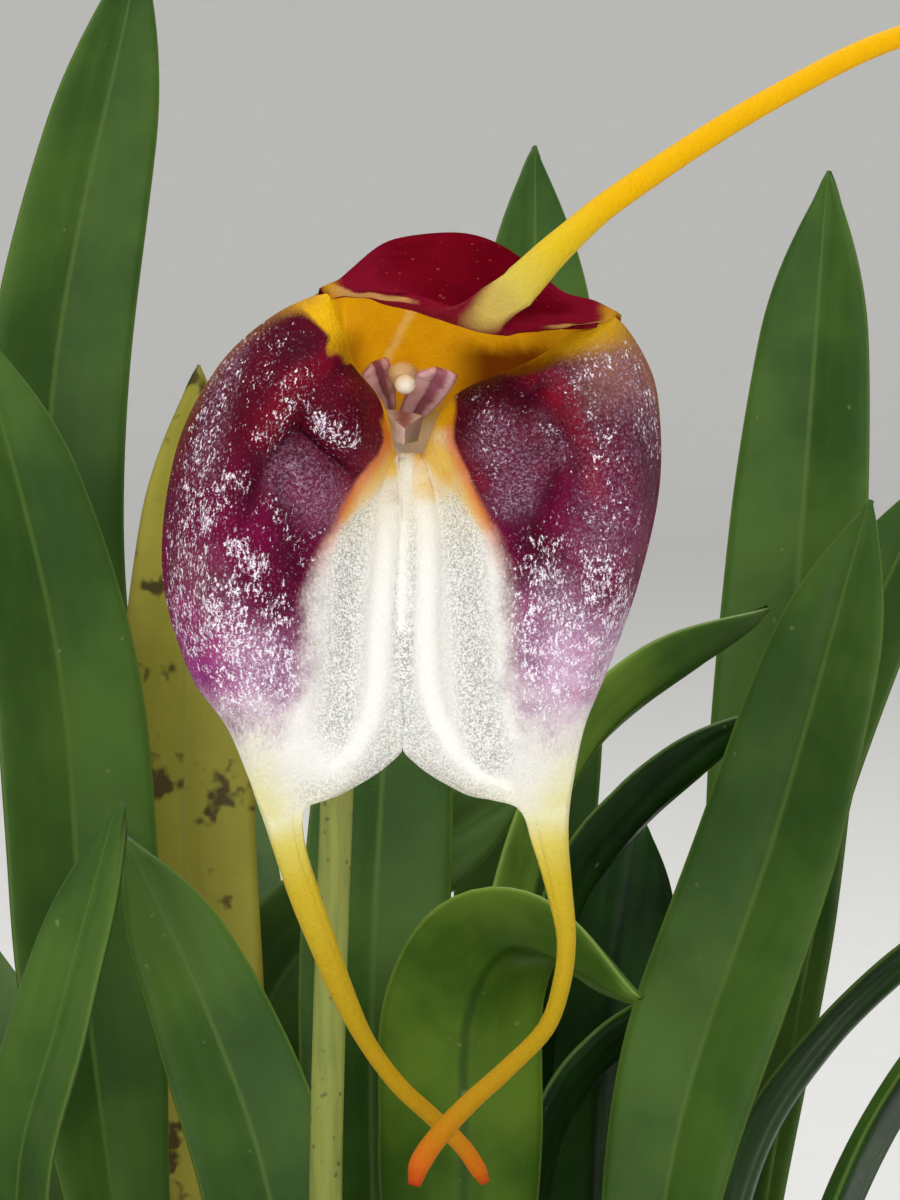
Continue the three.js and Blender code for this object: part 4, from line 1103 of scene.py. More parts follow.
# %% Lip
LIP = [
    (0.1, 3.2, -0.1), (-1.5, 5.3, 0.95), (1.2, 5.1, 0.5), (0.1, 3.7, -1.1), (-1.6, 5.5, -0.75),
    (0.85, 5.5, -1.0), (-0.9, 8.4, 0.2), (0.9, 8.4, 0.15), (-0.8, 8.6, -0.85), (0.8, 8.6, -0.9),
]
TOP_WAY = (0.07, -0.4, 0.92)
LIP_LUMPS = Vector((0.04, 0.06, 0.05))
lip = add("cube", "lip_flesh", size=1)
edit(lip, ("delete", {"type": "VERT"}))
lip.data.vertices.add(len(LIP))
for vertex, corner in zip(lip.data.vertices, LIP):
    vertex.co = Vector(corner) * MM + BLOOM
edit(
    lip, ("convex_hull", {}), ("bevel", {"offset": 0.1 * MM, "segments": 3, "affect": "EDGES"}),
    ("subdivide", {"number_cuts": 4}),
)
for vertex in lip.data.vertices:
    spot = (vertex.co - BLOOM) / MM
    vertex.co += LIP_LUMPS * lumps(spot, 0.4) * MM
bpy.ops.object.shade_smooth_by_angle(angle=math.radians(30))
faced = np.array([vertex.normal for vertex in lip.data.vertices])
record(lip, "top", smooth(faced @ unit(TOP_WAY), 0.75, 0.92))
record(lip, "right", smooth(faced[:, 0], 0, 0.3))

flesh_pink = Finish("lip_mauve", Subsurface_Weight=0.12, Subsurface_Scale=0.0008)
cloud = flesh_pink.noise(0.5, 4)
tone = flesh_pink.blend(cloud, paint(204, 178, 182), paint(236, 220, 220))
on_top = flesh_pink.attribute("top")
shaded_right_facet = flesh_pink.attribute("right") * (1 - on_top)
red = flesh_pink.rise(abs(flesh_pink.from_bloom("X") - 0.1) + (cloud - 0.5) * 0.5, 0.8, 0.1)
# Painted shade: the facet that faces right is darker, and olive towards its foot
tone = flesh_pink.blend(shaded_right_facet * 0.75, tone, paint(134, 104, 102))
foot = flesh_pink.rise(flesh_pink.from_bloom("Z"), -0.5, -1)
tone = flesh_pink.blend(shaded_right_facet * foot, tone, paint(150, 150, 104))
tone = flesh_pink.blend(on_top * red * 0.8, tone, paint(140, 50, 44))
flesh_pink.feed(Base_Color=tone, Roughness=0.4 - cloud * 0.15)
flesh_pink.bump(cloud, 0.08)
dress(coat(lip, flesh_pink), "lip", "lip")

# %% [markdown]
# The column is a rod with three soft ribs. A curve with a round bevel could make it, and the stems and canes
# after it, but a sheet rolled round a line can also swell, taper and carry ribs. A ball cuts a seat into the
# column's hood, and the cap, a smaller ball with a crease in front, lies in it.


# %% Rolled sheets
def spokes(line):
    """Gives a function of a share and an angle: the way that points straight out of the line there."""
    ends = [line.way(share) for share in (0.001, 0.5, 0.999)]
    reference = min(np.eye(3), key=lambda axis: max(abs(np.dot(end, axis)) for end in ends))

    def out(share, angle):
        way = line.way(share)
        side = unit(np.cross(reference, way))
        return side * math.cos(angle) + np.cross(way, side) * math.sin(angle)

    return out


def roll(name, line, radius_at, sides, rows, notes=None):
    """A sheet rolled round a line given in mm, whose ends close on poles."""
    out = spokes(line)

    def place(u, v):
        share = min(1, max(0, (v - 0.02) / 0.96))
        radius = 0 if v in (0, 1) else radius_at(u, share)
        return line.at(share) + out(share, u * math.tau) * radius

    piece = sheet(name, sides, rows, place, notes)
    edit(piece, ("remove_doubles", {"threshold": 0.002 * MM}), ("normals_make_consistent", {"inside": False}))
    bpy.ops.object.shade_smooth()
    return piece


print("roll tools ready")

# %% Column and cap
COLUMN = [(0.7, 14, 1.8), (0.2, 10, 2.4), (-0.1, 7, 2.75), (-0.2, 5.3, 2.6)]
COLUMN_RADIUS, SEAT_RADIUS = 0.8, 0.71
CAP_RADII = (0.62, 0.6, 0.58)
CAP_AT = BLOOM + Vector((0.12, 5.1, 2.3)) * MM
BALL = {"segments": 32, "ring_count": 20}


def column_radius(u, v):
    hood = math.sqrt(1 - 0.97 * rise(v, 0.72, 1) ** 2.5)
    return COLUMN_RADIUS * hood * (1 + 0.05 * math.cos(3 * math.tau * u))


column_line = Line([np.array(point) + np.array(BLOOM) / MM for point in COLUMN])
column = roll("column_flesh", column_line, column_radius, 32, 48)
seat = add("uv_sphere", "cap_seat", radius=SEAT_RADIUS * MM, location=CAP_AT, **BALL)
modify(column, "BOOLEAN", object=seat, operation="DIFFERENCE", solver="EXACT")
bpy.data.objects.remove(seat)
select(column)
bpy.ops.object.shade_smooth_by_angle(angle=math.radians(40))
cap = add("uv_sphere", "anther_cap_flesh", radius=1, **BALL)
for vertex in cap.data.vertices:
    x, y, z = vertex.co
    crease = 1 - 0.1 * bell(x, 0, 0.12) * rise(-y, -0.2, 0.6)
    vertex.co = CAP_AT + Vector([c * radius for c, radius in zip((x, y, z), CAP_RADII)]) * crease * MM
bpy.ops.object.shade_smooth()

beige = Finish("column_beige", Subsurface_Weight=0.12, Subsurface_Scale=0.0008)
cloud = beige.noise(0.6, 4)
tone = beige.blend(cloud, paint(232, 214, 176), paint(248, 238, 208))
tone = beige.blend(beige.rise(beige.noise(0.25, 3, shift=3), 0.6, 0.75) * 0.4, tone, paint(150, 70, 70))
beige.feed(Base_Color=tone, Roughness=0.42 - cloud * 0.15)
beige.bump(cloud, 0.06)
dress(coat(column, beige), "column", "column")
ivory = Finish("cap_ivory", Subsurface_Weight=0.15, Subsurface_Scale=0.0008)
cloud = ivory.noise(0.4, 3)
ivory.feed(Base_Color=ivory.blend(cloud, paint(250, 244, 220), paint(255, 253, 242)), Roughness=0.3 - cloud * 0.1)
ivory.bump(cloud, 0.03)
dress(coat(cap, ivory), "anther", "anther_cap")

# %% [markdown]
# ## Flower stem and ovary
# The bloom stands on a thin green stem that rises from the mix between the canes. The stem is rolled round the
# CAD stem's line, and a short swelling marks its joint. The ovary behind the tube has six soft ribs. Both are
# waxy green with fine purple dots, so they share one finish.

# %% Flower stem and ovary
MIX_TOP = 72
SUNK = 9
GAP = 0.3
STEM_RADIUS = 1.1
KNEE = (-7, -24, 184.3)
STEM = [(-7, -14, MIX_TOP - SUNK - GAP), (-7.1, -14.6, 80), (-8, -19, 115), (-8.1, -22.6, 150), KNEE]
OVARY = [KNEE, (-6.6, -23.6, 190), (-5.2, -23.2, 196.5), (-3.4, -24.6, 200.6), (-2, -28.55, 201.5)]


def stem_radius(u, v):
    joint, ribs = 0.05 * bell(v, 0.34, 0.012), 0.02 * math.cos(math.tau * u * 5)
    return STEM_RADIUS * (1 + joint - 0.07 * rise(v, 0.1, 0.9) + ribs)


def ovary_radius(u, v):
    ribs = 0.09 * rise(v, 0.5, 0.7) * (1 - math.cos(math.tau * u * 6)) / 2
    return mix(0.75, 1.25, rise(v, 0.55, 0.85)) * (1 - ribs)


stem_line = Line(STEM)
free_stem = Stretch(stem_line, GAP / stem_line.length, 1 - GAP / stem_line.length)
stem = roll("flower_stem_skin", free_stem, stem_radius, 24, 160)
ovary = roll("ovary_skin", Line(OVARY), ovary_radius, 36, 70)
green = Finish("stem_green", Subsurface_Weight=0.05, Subsurface_Scale=0.001)
cloud = green.noise(6, 4)
streak = green.noise(0.5, 3, place=green.stretched(1 / MM, 1 / MM, 0.09 / MM))
tone = green.blend(cloud, paint(120, 134, 44), paint(158, 160, 72))
tone = green.blend(green.rise(streak, 0.35, 0.7) * 0.5, tone, paint(98, 118, 40))
dots = green.rise(green.cells(0.9), 0.24, 0.12) * green.rise(green.noise(0.8, 2, shift=7), 0.45, 0.6)
tone = green.blend(dots * 0.7, tone, paint(100, 44, 44))
green.feed(Base_Color=tone, Roughness=0.5 - streak * 0.2)
green.bump(streak + dots, 0.05)
dress(coat(stem, green), "flower_stalk", "flower_stem")
dress(coat(ovary, green), "flower_stalk", "ovary")

# %% [markdown]
# A papery sheath wraps the stem's joint, and a pointed bract wraps the foot of the ovary's stalk. A plain tube
# would look like plastic. So each is a thin open sheet that goes a little more than once round, drifts outwards
# as it goes and is longer on one side. The fibres of its finish follow the numbers kept for along and across.

# %% Stem sheath and bract
ROUND = 1.08
PAPER = 0.09


def along_across(u, v):
    return {"along": v, "across": u}


def sleeve(name, line, flare, tip):
    """A thin sheath with an overlapping edge round a line; tip mm longer on one side."""
    out = spokes(line)
    inner = STEM_RADIUS + GAP + 0.12

    def place(u, v):
        radius = inner + 0.18 * u + flare * rise(v, 0.55, 1) + 0.05 * lumps((u * 9, v * 5, 2), 1)
        slant = tip * rise(v, 0.4, 1) * (0.5 - 0.5 * math.cos(math.tau * (u - 0.02)))
        return line.at(v) + out(v, u * math.tau * ROUND) * radius + line.way(v) * (slant - tip * 0.5 * v)

    return sheet(name, 40, 30, place, along_across, lambda u, v: PAPER)


straw = Finish("dry_sheath_paper")
along, across = straw.attribute("along"), straw.attribute("across")
stretched = straw.node("CombineXYZ", {}, (across * 30, along * 1.6, 0))
fibre = straw.noise(0.5, 4, 0.6, place=stretched)
tone = straw.blend(fibre, paint(142, 118, 76), paint(206, 190, 146))
tone = straw.blend(straw.rise(along + fibre * 0.3, 0.95, 1.2) * 0.8, tone, paint(104, 74, 44))
tone = straw.blend(straw.rise(straw.noise(1.4, 3), 0.58, 0.7) * 0.5, tone, paint(120, 84, 48))
straw.feed(Base_Color=tone, Roughness=0.85 - fibre * 0.25)
straw.bump(fibre, 0.08)
sheath = sleeve("stem_sheath_paper", Stretch(stem_line, 0.3, 0.39), 0.25, 2.4)
dress(flesh(coat(sheath, straw)), "dry_sheath", "stem_sheath")
bract_line = Line([np.array(KNEE) + (0.1 * t, 0.1 * t, mix(-3, 6, t)) for t in (0, 0.5, 1)])
bract = sleeve("floral_bract_paper", bract_line, 0.35, 2.6)
dress(flesh(coat(bract, straw)), "dry_sheath", "floral_bract")

# %% [markdown]
# ## Leaves
# Each shoot is one cane and one leaf. A leaf is a leathery strap, narrow at its foot and widest near its tip,
# folded along a sunken middle line. One leaf could be modelled and bent along a curve for each shoot, but no two
# real leaves bend, fold and wave alike. So each one is a sheet of its own, which follows the CAD line, width and
# facing of its shoot. The sheet rounds the fold, sinks the midrib, thins the edges and lets them wave a little.
#
# First come the shoots, clump by clump: where a cane stands, the points that its leaf runs through or the tip
# that it arches to, its half width in mm, the way that its upper side faces, in degrees from +X, and how far it
# looks up.

# %% Shoots
CLUMPS = [
    [
        {"root": (-5, -9), "through": [(-12.2, -9, 146.8), (-16, -7, 158), (-21.8, -6, 170.6)], "width": 4.7,
         "face": -80},
        {"root": (0, 0), "through": [(0.6, 5, 146), (1, 3, 157.5), (4, -1, 162.6), (12.2, -9.5, 160.4)],
         "width": 6, "face": 96, "up": 0.7, "age": "young"},
        {"root": (9, 1), "through": [(15.5, 8, 146.2), (22.6, 11, 168), (29.2, 13, 191.3)], "width": 5.6,
         "face": -112},
    ],
    [
        {"root": (-19, -8), "through": [(-28, -14, 148.1), (-25.2, -14, 160), (-21.4, -12, 173.8)],
         "width": 4.2, "face": -135},
        {"root": (-24.5, -6), "tip": (-60, -32, 150), "width": 6.4},
        {"root": (-21, -1), "tip": (-66, -4, 154), "width": 6.8},
    ],
    [
        {"root": (-15, 3), "through": [(-25.8, 9, 156.6), (-28, 13, 180), (-34, 16, 204)], "width": 6,
         "face": -62},
        {"root": (-20, 10), "tip": (-62, 38, 172), "width": 6.8},
        {"root": (-24.5, 4.5), "tip": (-58, 16, 188), "width": 6.6},
    ],
    [
        {"root": (-8, 11), "through": [(-19.6, 21, 163), (-18.7, 28, 200)], "width": 5.4, "face": -75,
         "age": "old"},
        {"root": (-10, 19), "through": [(-14.4, 28, 150.5), (-8.5, 31, 158.7), (6, 36, 168)], "width": 5.2,
         "face": -100},
        {"root": (-16, 18), "tip": (-48, 64, 158), "width": 6.6},
    ],
    [
        {"root": (-1, 25), "through": [(6, 52, 178), (6.5, 62, 216)], "width": 6.2, "face": -80},
        {"root": (-9, 26), "through": [(-31, 38, 188), (-24, 45, 232)], "width": 6, "face": -70},
        {"root": (-16, 26), "tip": (-22, 78, 168), "width": 6.6},
    ],
    [
        {"root": (-3, 5), "through": [(-6, 16, 150), (-4, 28, 190)], "width": 5.6, "face": -85},
        {"root": (3, 9.5), "through": [(4, 13, 158), (9.7, 17, 173.6), (22.7, 22, 182.8)], "width": 4.8,
         "face": 160, "age": "young"},
        {"root": (9, 9), "through": [(6.5, 13, 143), (10.4, 15.5, 150.5), (21, 18, 156)], "width": 4.8,
         "face": 165},
    ],
    [
        {"root": (5, 18), "through": [(8, 25, 158), (13, 29, 165.6), (24, 35, 174)], "width": 4.8, "face": 160},
        {"root": (10, 25), "through": [(11, 33, 144.5), (14.4, 42, 164.5)], "width": 5.4, "face": 80},
        {"root": (17, 23), "through": [(27, 50, 178), (30, 58, 214)], "width": 6.2, "face": -110},
    ],
    [
        {"root": (17, 16), "through": [(24, 33, 160), (37, 38, 192)], "width": 6, "face": -130},
        {"root": (23, 12), "tip": (64, 46, 160), "width": 6.8},
    ],
    [
        {"root": (17, 8), "through": [(21, 18, 140.6), (27, 20, 151), (42, 22, 164)], "width": 5.4, "face": 170},
        {"root": (23, 4), "tip": (76, 12, 141), "width": 6.6},
    ],
    [
        {"root": (18, -1), "through": [(25, -1, 139), (34, 1, 156), (47, 3, 166)], "width": 5.6, "face": 175},
        {"root": (23, -6), "tip": (66, -26, 150), "width": 6.4},
        {"root": (13, -12), "tip": (44, -50, 139), "width": 6.4},
    ],
    [
        {"root": (-12, -18), "tip": (-48, -50, 138), "width": 6.4},
        {"root": (-4, -21), "tip": (-22, -66, 124), "width": 6},
        {"root": (2, -19), "tip": (18, -66, 122), "width": 6},
    ],
]
CANE_HEIGHT = 32
LEAF_THICK, PETIOLE, WIDEST = 1.1, 1.4, 0.6
FOLD_FOOT, FOLD_TIP = 38, 17
print(sum(map(len, CLUMPS)), "shoots in", len(CLUMPS), "clumps")


# %% Leaf shape
def shoot_line(shoot):
    """From just under the cane's foot up through its neck and its leaf to the tip."""
    x, y = shoot["root"]
    tip = shoot.get("tip")

    def share(x1, y1, z, part):
        return mix(x, x1, part), mix(y, y1, part), z

    arch = shoot.get("through") or [share(tip[0], tip[1], mix(MIX_TOP, tip[2], 0.7), 0.46), tip]
    bx, by = arch[0][:2]
    foot = (x, y, MIX_TOP - SUNK - GAP)
    return Line([foot, share(bx, by, MIX_TOP + 4, 0.06), share(bx, by, MIX_TOP + CANE_HEIGHT, 0.34), *arch])


def leaf_half_width(width, share):
    """From the stalk out to the widest place, and in again to the tip."""
    over = max(0, share - WIDEST) / (1.006 - WIDEST)
    return mix(PETIOLE, width, rise(share, 0.08, WIDEST)) * math.sqrt(max(0, 1 - over**2.3))


def leaf(name, shoot, line, start):
    """A leaf on a shoot's line, from a share of it to its tip."""
    way_out = (shoot.get("through") or [shoot["tip"]])[0]
    outwards = math.atan2(way_out[1] - shoot["root"][1], way_out[0] - shoot["root"][0])
    face = math.radians(shoot["face"]) if "face" in shoot else outwards + math.pi
    tilt = shoot.get("up", 0.25 if "face" in shoot else 0.8)
    looks = np.array([math.cos(face), math.sin(face), tilt])
    seed = 7.3 * shoot["root"][0] + 3.1 * shoot["root"][1]

    @lru_cache(maxsize=None)
    def stand(v):
        share = mix(start, 1, math.sin(v * math.pi / 2) * 0.5 + v * 0.5)
        way = line.way(share)
        upper = unit(looks - np.dot(looks, way) * way)
        return line.at(share), upper, np.cross(upper, way)

    def place(u, v):
        share = math.sin(v * math.pi / 2) * 0.5 + v * 0.5
        middle, upper, side = stand(v)
        aside = 2 * u - 1
        width = leaf_half_width(shoot["width"], share)
        width *= 1 + 0.02 * noise.noise(Vector((seed, share * 9, aside)))
        width *= (1 - max(0, (share - 0.88) / 0.12) ** 2) ** 0.6
        across = aside * width
        fold = math.radians(mix(FOLD_FOOT, FOLD_TIP, rise(share, 0.02, 0.5)))
        # The fold with its round bottom, the sunken midrib, the waves of the edge and faint lengthwise ridges
        lift = (math.hypot(across, 0.5) - 0.5) * math.sin(fold) * 1.06
        lift -= 0.26 * bell(across, 0, 0.42) * (1 - share) ** 0.4 * rise(share, 0, 0.1)
        lift += 0.35 * rise(abs(aside), 0.3, 1) * noise.noise(Vector((seed + aside, share * 6, 4)))
        lift += 0.06 * math.cos(across * 4.2) * rise(share, 0.15, 0.4) * (1 - aside**2)
        return middle + side * across * math.cos(fold) + upper * lift

    def half(u, v):
        aside = abs(2 * u - 1)
        body = mix(0.95, mix(1, 0.62, aside), rise(v, 0, 0.3))
        edge = math.sqrt(max(0.04, 1 - max(0, aside - 0.8) ** 2 / 0.2**2))
        return LEAF_THICK / 2 * body * edge * (1 - 0.5 * bell(v, 1, 0.02))

    return sheet(name, 18, 64, place, lambda u, v: {"across": 2 * u - 1, "along": v}, half)


print("leaf shape ready")

# %% [markdown]
# The upper side is dark and waxy, with faint lengthwise veins, a darker midrib and a paler rim, and the
# underside is lighter and duller. The veins could be a stretched texture, but a leaf bends every way, so the
# pattern reads the numbers kept for across and along instead of plain coordinates. Young leaves are lighter, and
# one old leaf is turning yellow and has dark spots.

# %% Leaf finishes
# Each finish's dark and light green, the colours of its midrib and its rim, its roughness, and any spots' colour
LEAF_TONES = {
    "leaf_upper": ((12, 38, 4), (32, 70, 12), (6, 24, 3), (96, 124, 40), 0.3),
    "young_leaf_upper": ((48, 80, 12), (92, 122, 32), (32, 60, 10), (140, 160, 70), 0.36),
    "leaf_under": ((44, 76, 20), (70, 102, 32), (86, 114, 46), (104, 128, 52), 0.45),
    "old_leaf_upper": ((122, 118, 14), (160, 146, 26), (92, 98, 20), (150, 130, 50), 0.38, (24, 16, 10)),
    "old_leaf_under": ((140, 136, 44), (168, 158, 60), (130, 130, 50), (150, 136, 60), 0.48, (60, 44, 20)),
}
# The finishes of the upper side and the underside, by age
LEAF_SIDES = {
    "old": ("old_leaf_upper", "old_leaf_under"), "young": ("young_leaf_upper", "leaf_under"),
    None: ("leaf_upper", "leaf_under"),
}


def leaf_finish(name, dark, light, rib, rim, rough, spots=None):
    made = Finish(name, Specular_IOR_Level=0.2)
    dark, light = paint(*dark), paint(*light)
    across, along = made.attribute("across"), made.attribute("along")
    lengthwise = made.node("CombineXYZ", {}, (across * 6, along * 7, 0))
    vein = made.noise(0.35, 3, 0.6, place=lengthwise)
    cloud = made.noise(14, 4)
    grain = made.noise(0.6, 3)
    tone = made.blend(made.rise(cloud, 0.35, 0.68), dark, light)
    tone = made.blend(made.rise(vein, 0.45, 0.8) * 0.14, tone, light)
    aside = abs(across)
    tone = made.blend(made.rise(aside + (grain - 0.5) * 0.03, 0.08, 0.01) * 0.6, tone, paint(*rib))
    tone = made.blend(made.rise(aside + (grain - 0.5) * 0.03, 0.95, 1) * 0.5, tone, paint(*rim))
    flecks = made.rise(made.noise(1.1, 2, shift=9), 0.72, 0.8)
    tone = made.blend(flecks * 0.35, tone, paint(150, 158, 110))
    if spots:
        blotch = made.rise(made.noise(4.5, 3, 0.65, shift=3) + grain * 0.1, 0.62, 0.7)
        tone = made.blend(blotch * 0.9, tone, paint(*spots))
    made.feed(Base_Color=tone, Roughness=(grain - 0.5) * 0.2 + vein * 0.12 + rough)
    made.bump(vein * 0.4 + grain * 0.25 + made.noise(2.5, 2) * 0.6, 0.07, 0.5)
    return made


leaf_finishes = {name: leaf_finish(name, *tones) for name, tones in LEAF_TONES.items()}
print(sorted(leaf_finishes))

# %% Make the leaves
shoots = [shoot for clump in CLUMPS for shoot in clump]
canes = []
for count, shoot in enumerate(shoots, 1):
    line = shoot_line(shoot)
    joint = (SUNK + GAP + CANE_HEIGHT) / line.length
    canes.append(Stretch(line, GAP / line.length, joint))
    piece = leaf(f"leaf_{count:02d}_blade", shoot, line, joint + GAP / line.length)
    age = shoot.get("age")
    coat(piece, *(leaf_finishes[name] for name in LEAF_SIDES[age]))
    dress(flesh(piece), "old_leaf" if age == "old" else "leaf", f"leaf_{count:02d}")

# %% [markdown]
# ## Canes
# Below each leaf stands a short cane wrapped in three papery brown sheaths, each one open a little at its top,
# and the canes of a clump rise from one length of creeping stem. Sheaths could be sleeves of their own, as on the
# flower stem, but on so many canes, low among the leaves, a step in the radius is enough. Canes and stem are
# rolled sheets that are joined to one piece for each clump.

# %% Canes
CANE_FOOT, CANE_TOP = 1.7, 1.25
# Where each sheath starts and ends, as shares of the cane
SHEATHS = ((0.18, 0.46), (0.42, 0.72), (0.68, 0.93))
CREEP_HEIGHT, CREEP_RADIUS = 77, 1.4


def cane_radius(u, v):
    """The cane's own radius, and a sheath's paper where there is one, which stands off towards its torn top."""
    radius = mix(CANE_FOOT, CANE_TOP, v) * (1 + 0.12 * max(0, math.sin(v * 9)))
    for low, top in SHEATHS:
        if low <= v <= top:
            torn = 0.03 * noise.noise(Vector((math.cos(u * math.tau), math.sin(u * math.tau), top * 9)) * 2)
            radius += (0.1 + 0.22 * rise(v, top - 0.12, top)) * (v < top + torn - 0.02)
    return radius * (1 + 0.03 * noise.noise(Vector((u * 6, v * 5, 1))))


def creep_radius(u, v):
    return CREEP_RADIUS * (1 + 0.1 * math.sin(v * 40)) * (0.9 + 0.1 * math.cos(u * math.tau * 3))


fibrous = Finish("cane_sheath")
along, across = fibrous.attribute("along"), fibrous.attribute("across")
fibre = fibrous.noise(0.6, 4, 0.6, place=fibrous.node("CombineXYZ", {}, (across * 24, along * 3, 0)))
tone = fibrous.blend(fibre, paint(66, 46, 28), paint(128, 100, 66))
tone = fibrous.blend(fibrous.rise(fibrous.noise(5, 4), 0.5, 0.7) * 0.6, tone, paint(160, 140, 104))
tone = fibrous.blend(fibrous.rise(along, 0.86, 0.96) * 0.8, tone, paint(72, 92, 40))
fibrous.feed(Base_Color=tone, Roughness=0.9 - fibre * 0.3)
fibrous.bump(fibre + fibrous.noise(0.4, 3) * 0.5, 0.12)
waiting = iter(canes)
for count, clump in enumerate(CLUMPS, 1):
    parts = [roll(f"cane_{i}", next(waiting), cane_radius, 20, 54, along_across) for i in range(len(clump))]
    creep = Line([(*shoot["root"], CREEP_HEIGHT) for shoot in clump])
    parts.append(roll("creeping_stem", creep, creep_radius, 16, 40, lambda u, v: along_across(u, v * 0.5)))
    dress(coat(join(parts, f"canes_{count:02d}_sheathed"), fibrous), "cane", f"canes_{count:02d}")

# %% [markdown]
# ## Potting mix
# Orchids of this kind grow in bark chips. Filling the whole pot with chips would cost a great many faces that
# nobody sees. So a closed bed, low and bumpy on top, fills the pot to the CAD height, and a few hundred chips lie
# on it.

# %% Bed of bark
# Heights, radii and wall thicknesses of the pot, in mm
POT = {"height": 80, "foot": 31, "shoulder": 41, "rim": 46, "band": 17, "wall": 4.5, "floor": 6}
# Shares of the sheet's length where the floor and the wall of the bed end
FLOOR_SHARE, WALL_SHARE = 0.12, 0.3


def bore(z):
    """The pot's inner radius at a height."""
    low, high = POT["foot"] + 1.5 - POT["wall"], POT["rim"] - POT["wall"] - 1
    return mix(low, high, (z - POT["floor"]) / (POT["height"] - 1.5 - POT["floor"]))


def mix_top(x, y):
    """The height of the mix: crowned, with bumps that fade out at the wall."""
    r = math.hypot(x, y) / bore(MIX_TOP)
    bumps = math.sin(x * 0.52 + 1.3) * math.cos(y * 0.61 - 0.4) + 0.5 * math.sin(x * 1.1 - y * 0.9)
    return MIX_TOP + 3 * (1 - r * r) + 0.9 * bumps * (1 - r**6) - 1


def bed_place(u, v):
    """From the middle of the floor out, up the wall and back in over the top."""
    angle = u * math.tau
    floor_z = POT["floor"] + GAP
    low, rim = bore(floor_z) - GAP, bore(MIX_TOP) - GAP
    if v <= FLOOR_SHARE:
        r, z = low * v / FLOOR_SHARE, floor_z
    elif v <= WALL_SHARE:
        share = (v - FLOOR_SHARE) / (WALL_SHARE - FLOOR_SHARE)
        r, z = mix(low, rim, share), mix(floor_z, MIX_TOP - 1, share)
    else:
        r, z = rim * (1 - v) / (1 - WALL_SHARE), None
    x, y = r * math.cos(angle), r * math.sin(angle)
    if z is None:
        z = mix_top(x, y) + 0.7 * noise.noise(Vector((x, y, 0)) / 2.2) - 0.9
    return x, y, z


bed = sheet("bark_bed", 120, 100, bed_place)
edit(bed, ("remove_doubles", {"threshold": 0.01 * MM}), ("normals_make_consistent", {"inside": False}))
bpy.ops.object.shade_smooth()
print("bed of", len(bed.data.vertices), "vertices")

# %% [markdown]
# A chip is a cube with three corners cut off askew and its edges bevelled. A particle system could scatter it, but
# plain copies are easier to keep clear of the canes. Each copy gets its own size, turn and shade, all drawn from
# one seeded generator, so that the heap is the same in each run.

# %% Bark chips
CHIPS, SEED = 420, 41
HEAP_RADIUS, CLEAR_OF_STEMS = 36.6, 3.6
# A point of each cut, and the way out of the chip there
CUTS = [((0.6, 0, 0.5), (0.7, 0.3, 0.6)), ((-0.7, -0.4, 0), (-0.8, -0.6, 0.3)), ((0.3, 0.7, -0.4), (0.4, 0.8, -0.5))]
draw = random.Random(SEED)
chip = add("cube", "chip_pattern", size=2)
cuts = [("bisect", {"plane_co": at, "plane_no": way, "clear_outer": True, "use_fill": True}) for at, way in CUTS]
edit(chip, *cuts, ("bevel", {"offset": 0.16, "segments": 1, "affect": "EDGES"}))
stems = [shoot["root"] for shoot in shoots] + [STEM[0][:2]]
spots = []
while len(spots) < CHIPS:
    angle, reach = draw.uniform(0, math.tau), math.sqrt(draw.random()) * HEAP_RADIUS
    x, y = reach * math.cos(angle), reach * math.sin(angle)
    if min(math.hypot(x - a, y - b) for a, b in stems) > CLEAR_OF_STEMS:
        spots.append((x, y))
chips = []
for x, y in spots:
    copy = bpy.data.objects.new("chip", chip.data.copy())
    bpy.context.collection.objects.link(copy)
    copy.scale = Vector((draw.uniform(1.6, 3.2), draw.uniform(1, 2.1), draw.uniform(0.5, 1.1))) * MM
    copy.rotation_euler = (draw.uniform(-0.45, 0.45), draw.uniform(-0.45, 0.45), draw.uniform(0, math.tau))
    copy.location = Vector((x, y, mix_top(x, y) + draw.uniform(-0.9, 0.2))) * MM
    record(copy, "chip", [draw.random()] * len(copy.data.vertices))
    chips.append(copy)
bpy.data.objects.remove(chip)
heap = join(chips, "bark_chips")
select(heap)
bpy.ops.object.transform_apply(location=True, rotation=True, scale=True)
bpy.ops.object.shade_flat()
mulch = join([bed, heap], "bark_mix")
print(CHIPS, "chips")

# %% [markdown]
# Wet bark is dark brown, and dry chips are paler. Each chip keeps one number, its shade, so that neighbours differ.
# The bed has none, which reads as 0, and is the darkest.

# %% Bark finish
bark = Finish("bark")
own = bark.attribute("chip")
grain = bark.noise(0.7, 5, 0.65)
cloud = bark.noise(3, 4)
tone = bark.blend(own, paint(58, 36, 22), paint(122, 82, 52))
tone = bark.blend(grain, tone, paint(40, 24, 15), "MULTIPLY")
tone = bark.blend(bark.rise(own, 0.02, 0.0), tone, paint(38, 26, 18))
tone = bark.blend(bark.rise(cloud, 0.6, 0.75) * 0.4, tone, paint(120, 112, 92))
bark.feed(Base_Color=tone, Roughness=1 - grain * 0.3)
bark.bump(grain + bark.noise(0.3, 3) * 0.4, 0.3)
dress(coat(mulch, bark), "bark", "potting_mix")

# %% [markdown]
# ## Pot
# The pot is thrown clay with a rolled band at its rim. It could be built from cylinders, but a potter's wheel and
# Blender's spin operator do the same thing: a profile is drawn once and turned about the axis. The wall carries
# faint throwing rings, and three drain holes are cut through the floor. The profile's outer corners are cut off.
# The bevel adds next to nothing to that, so the edges of the drain holes stay sharp.

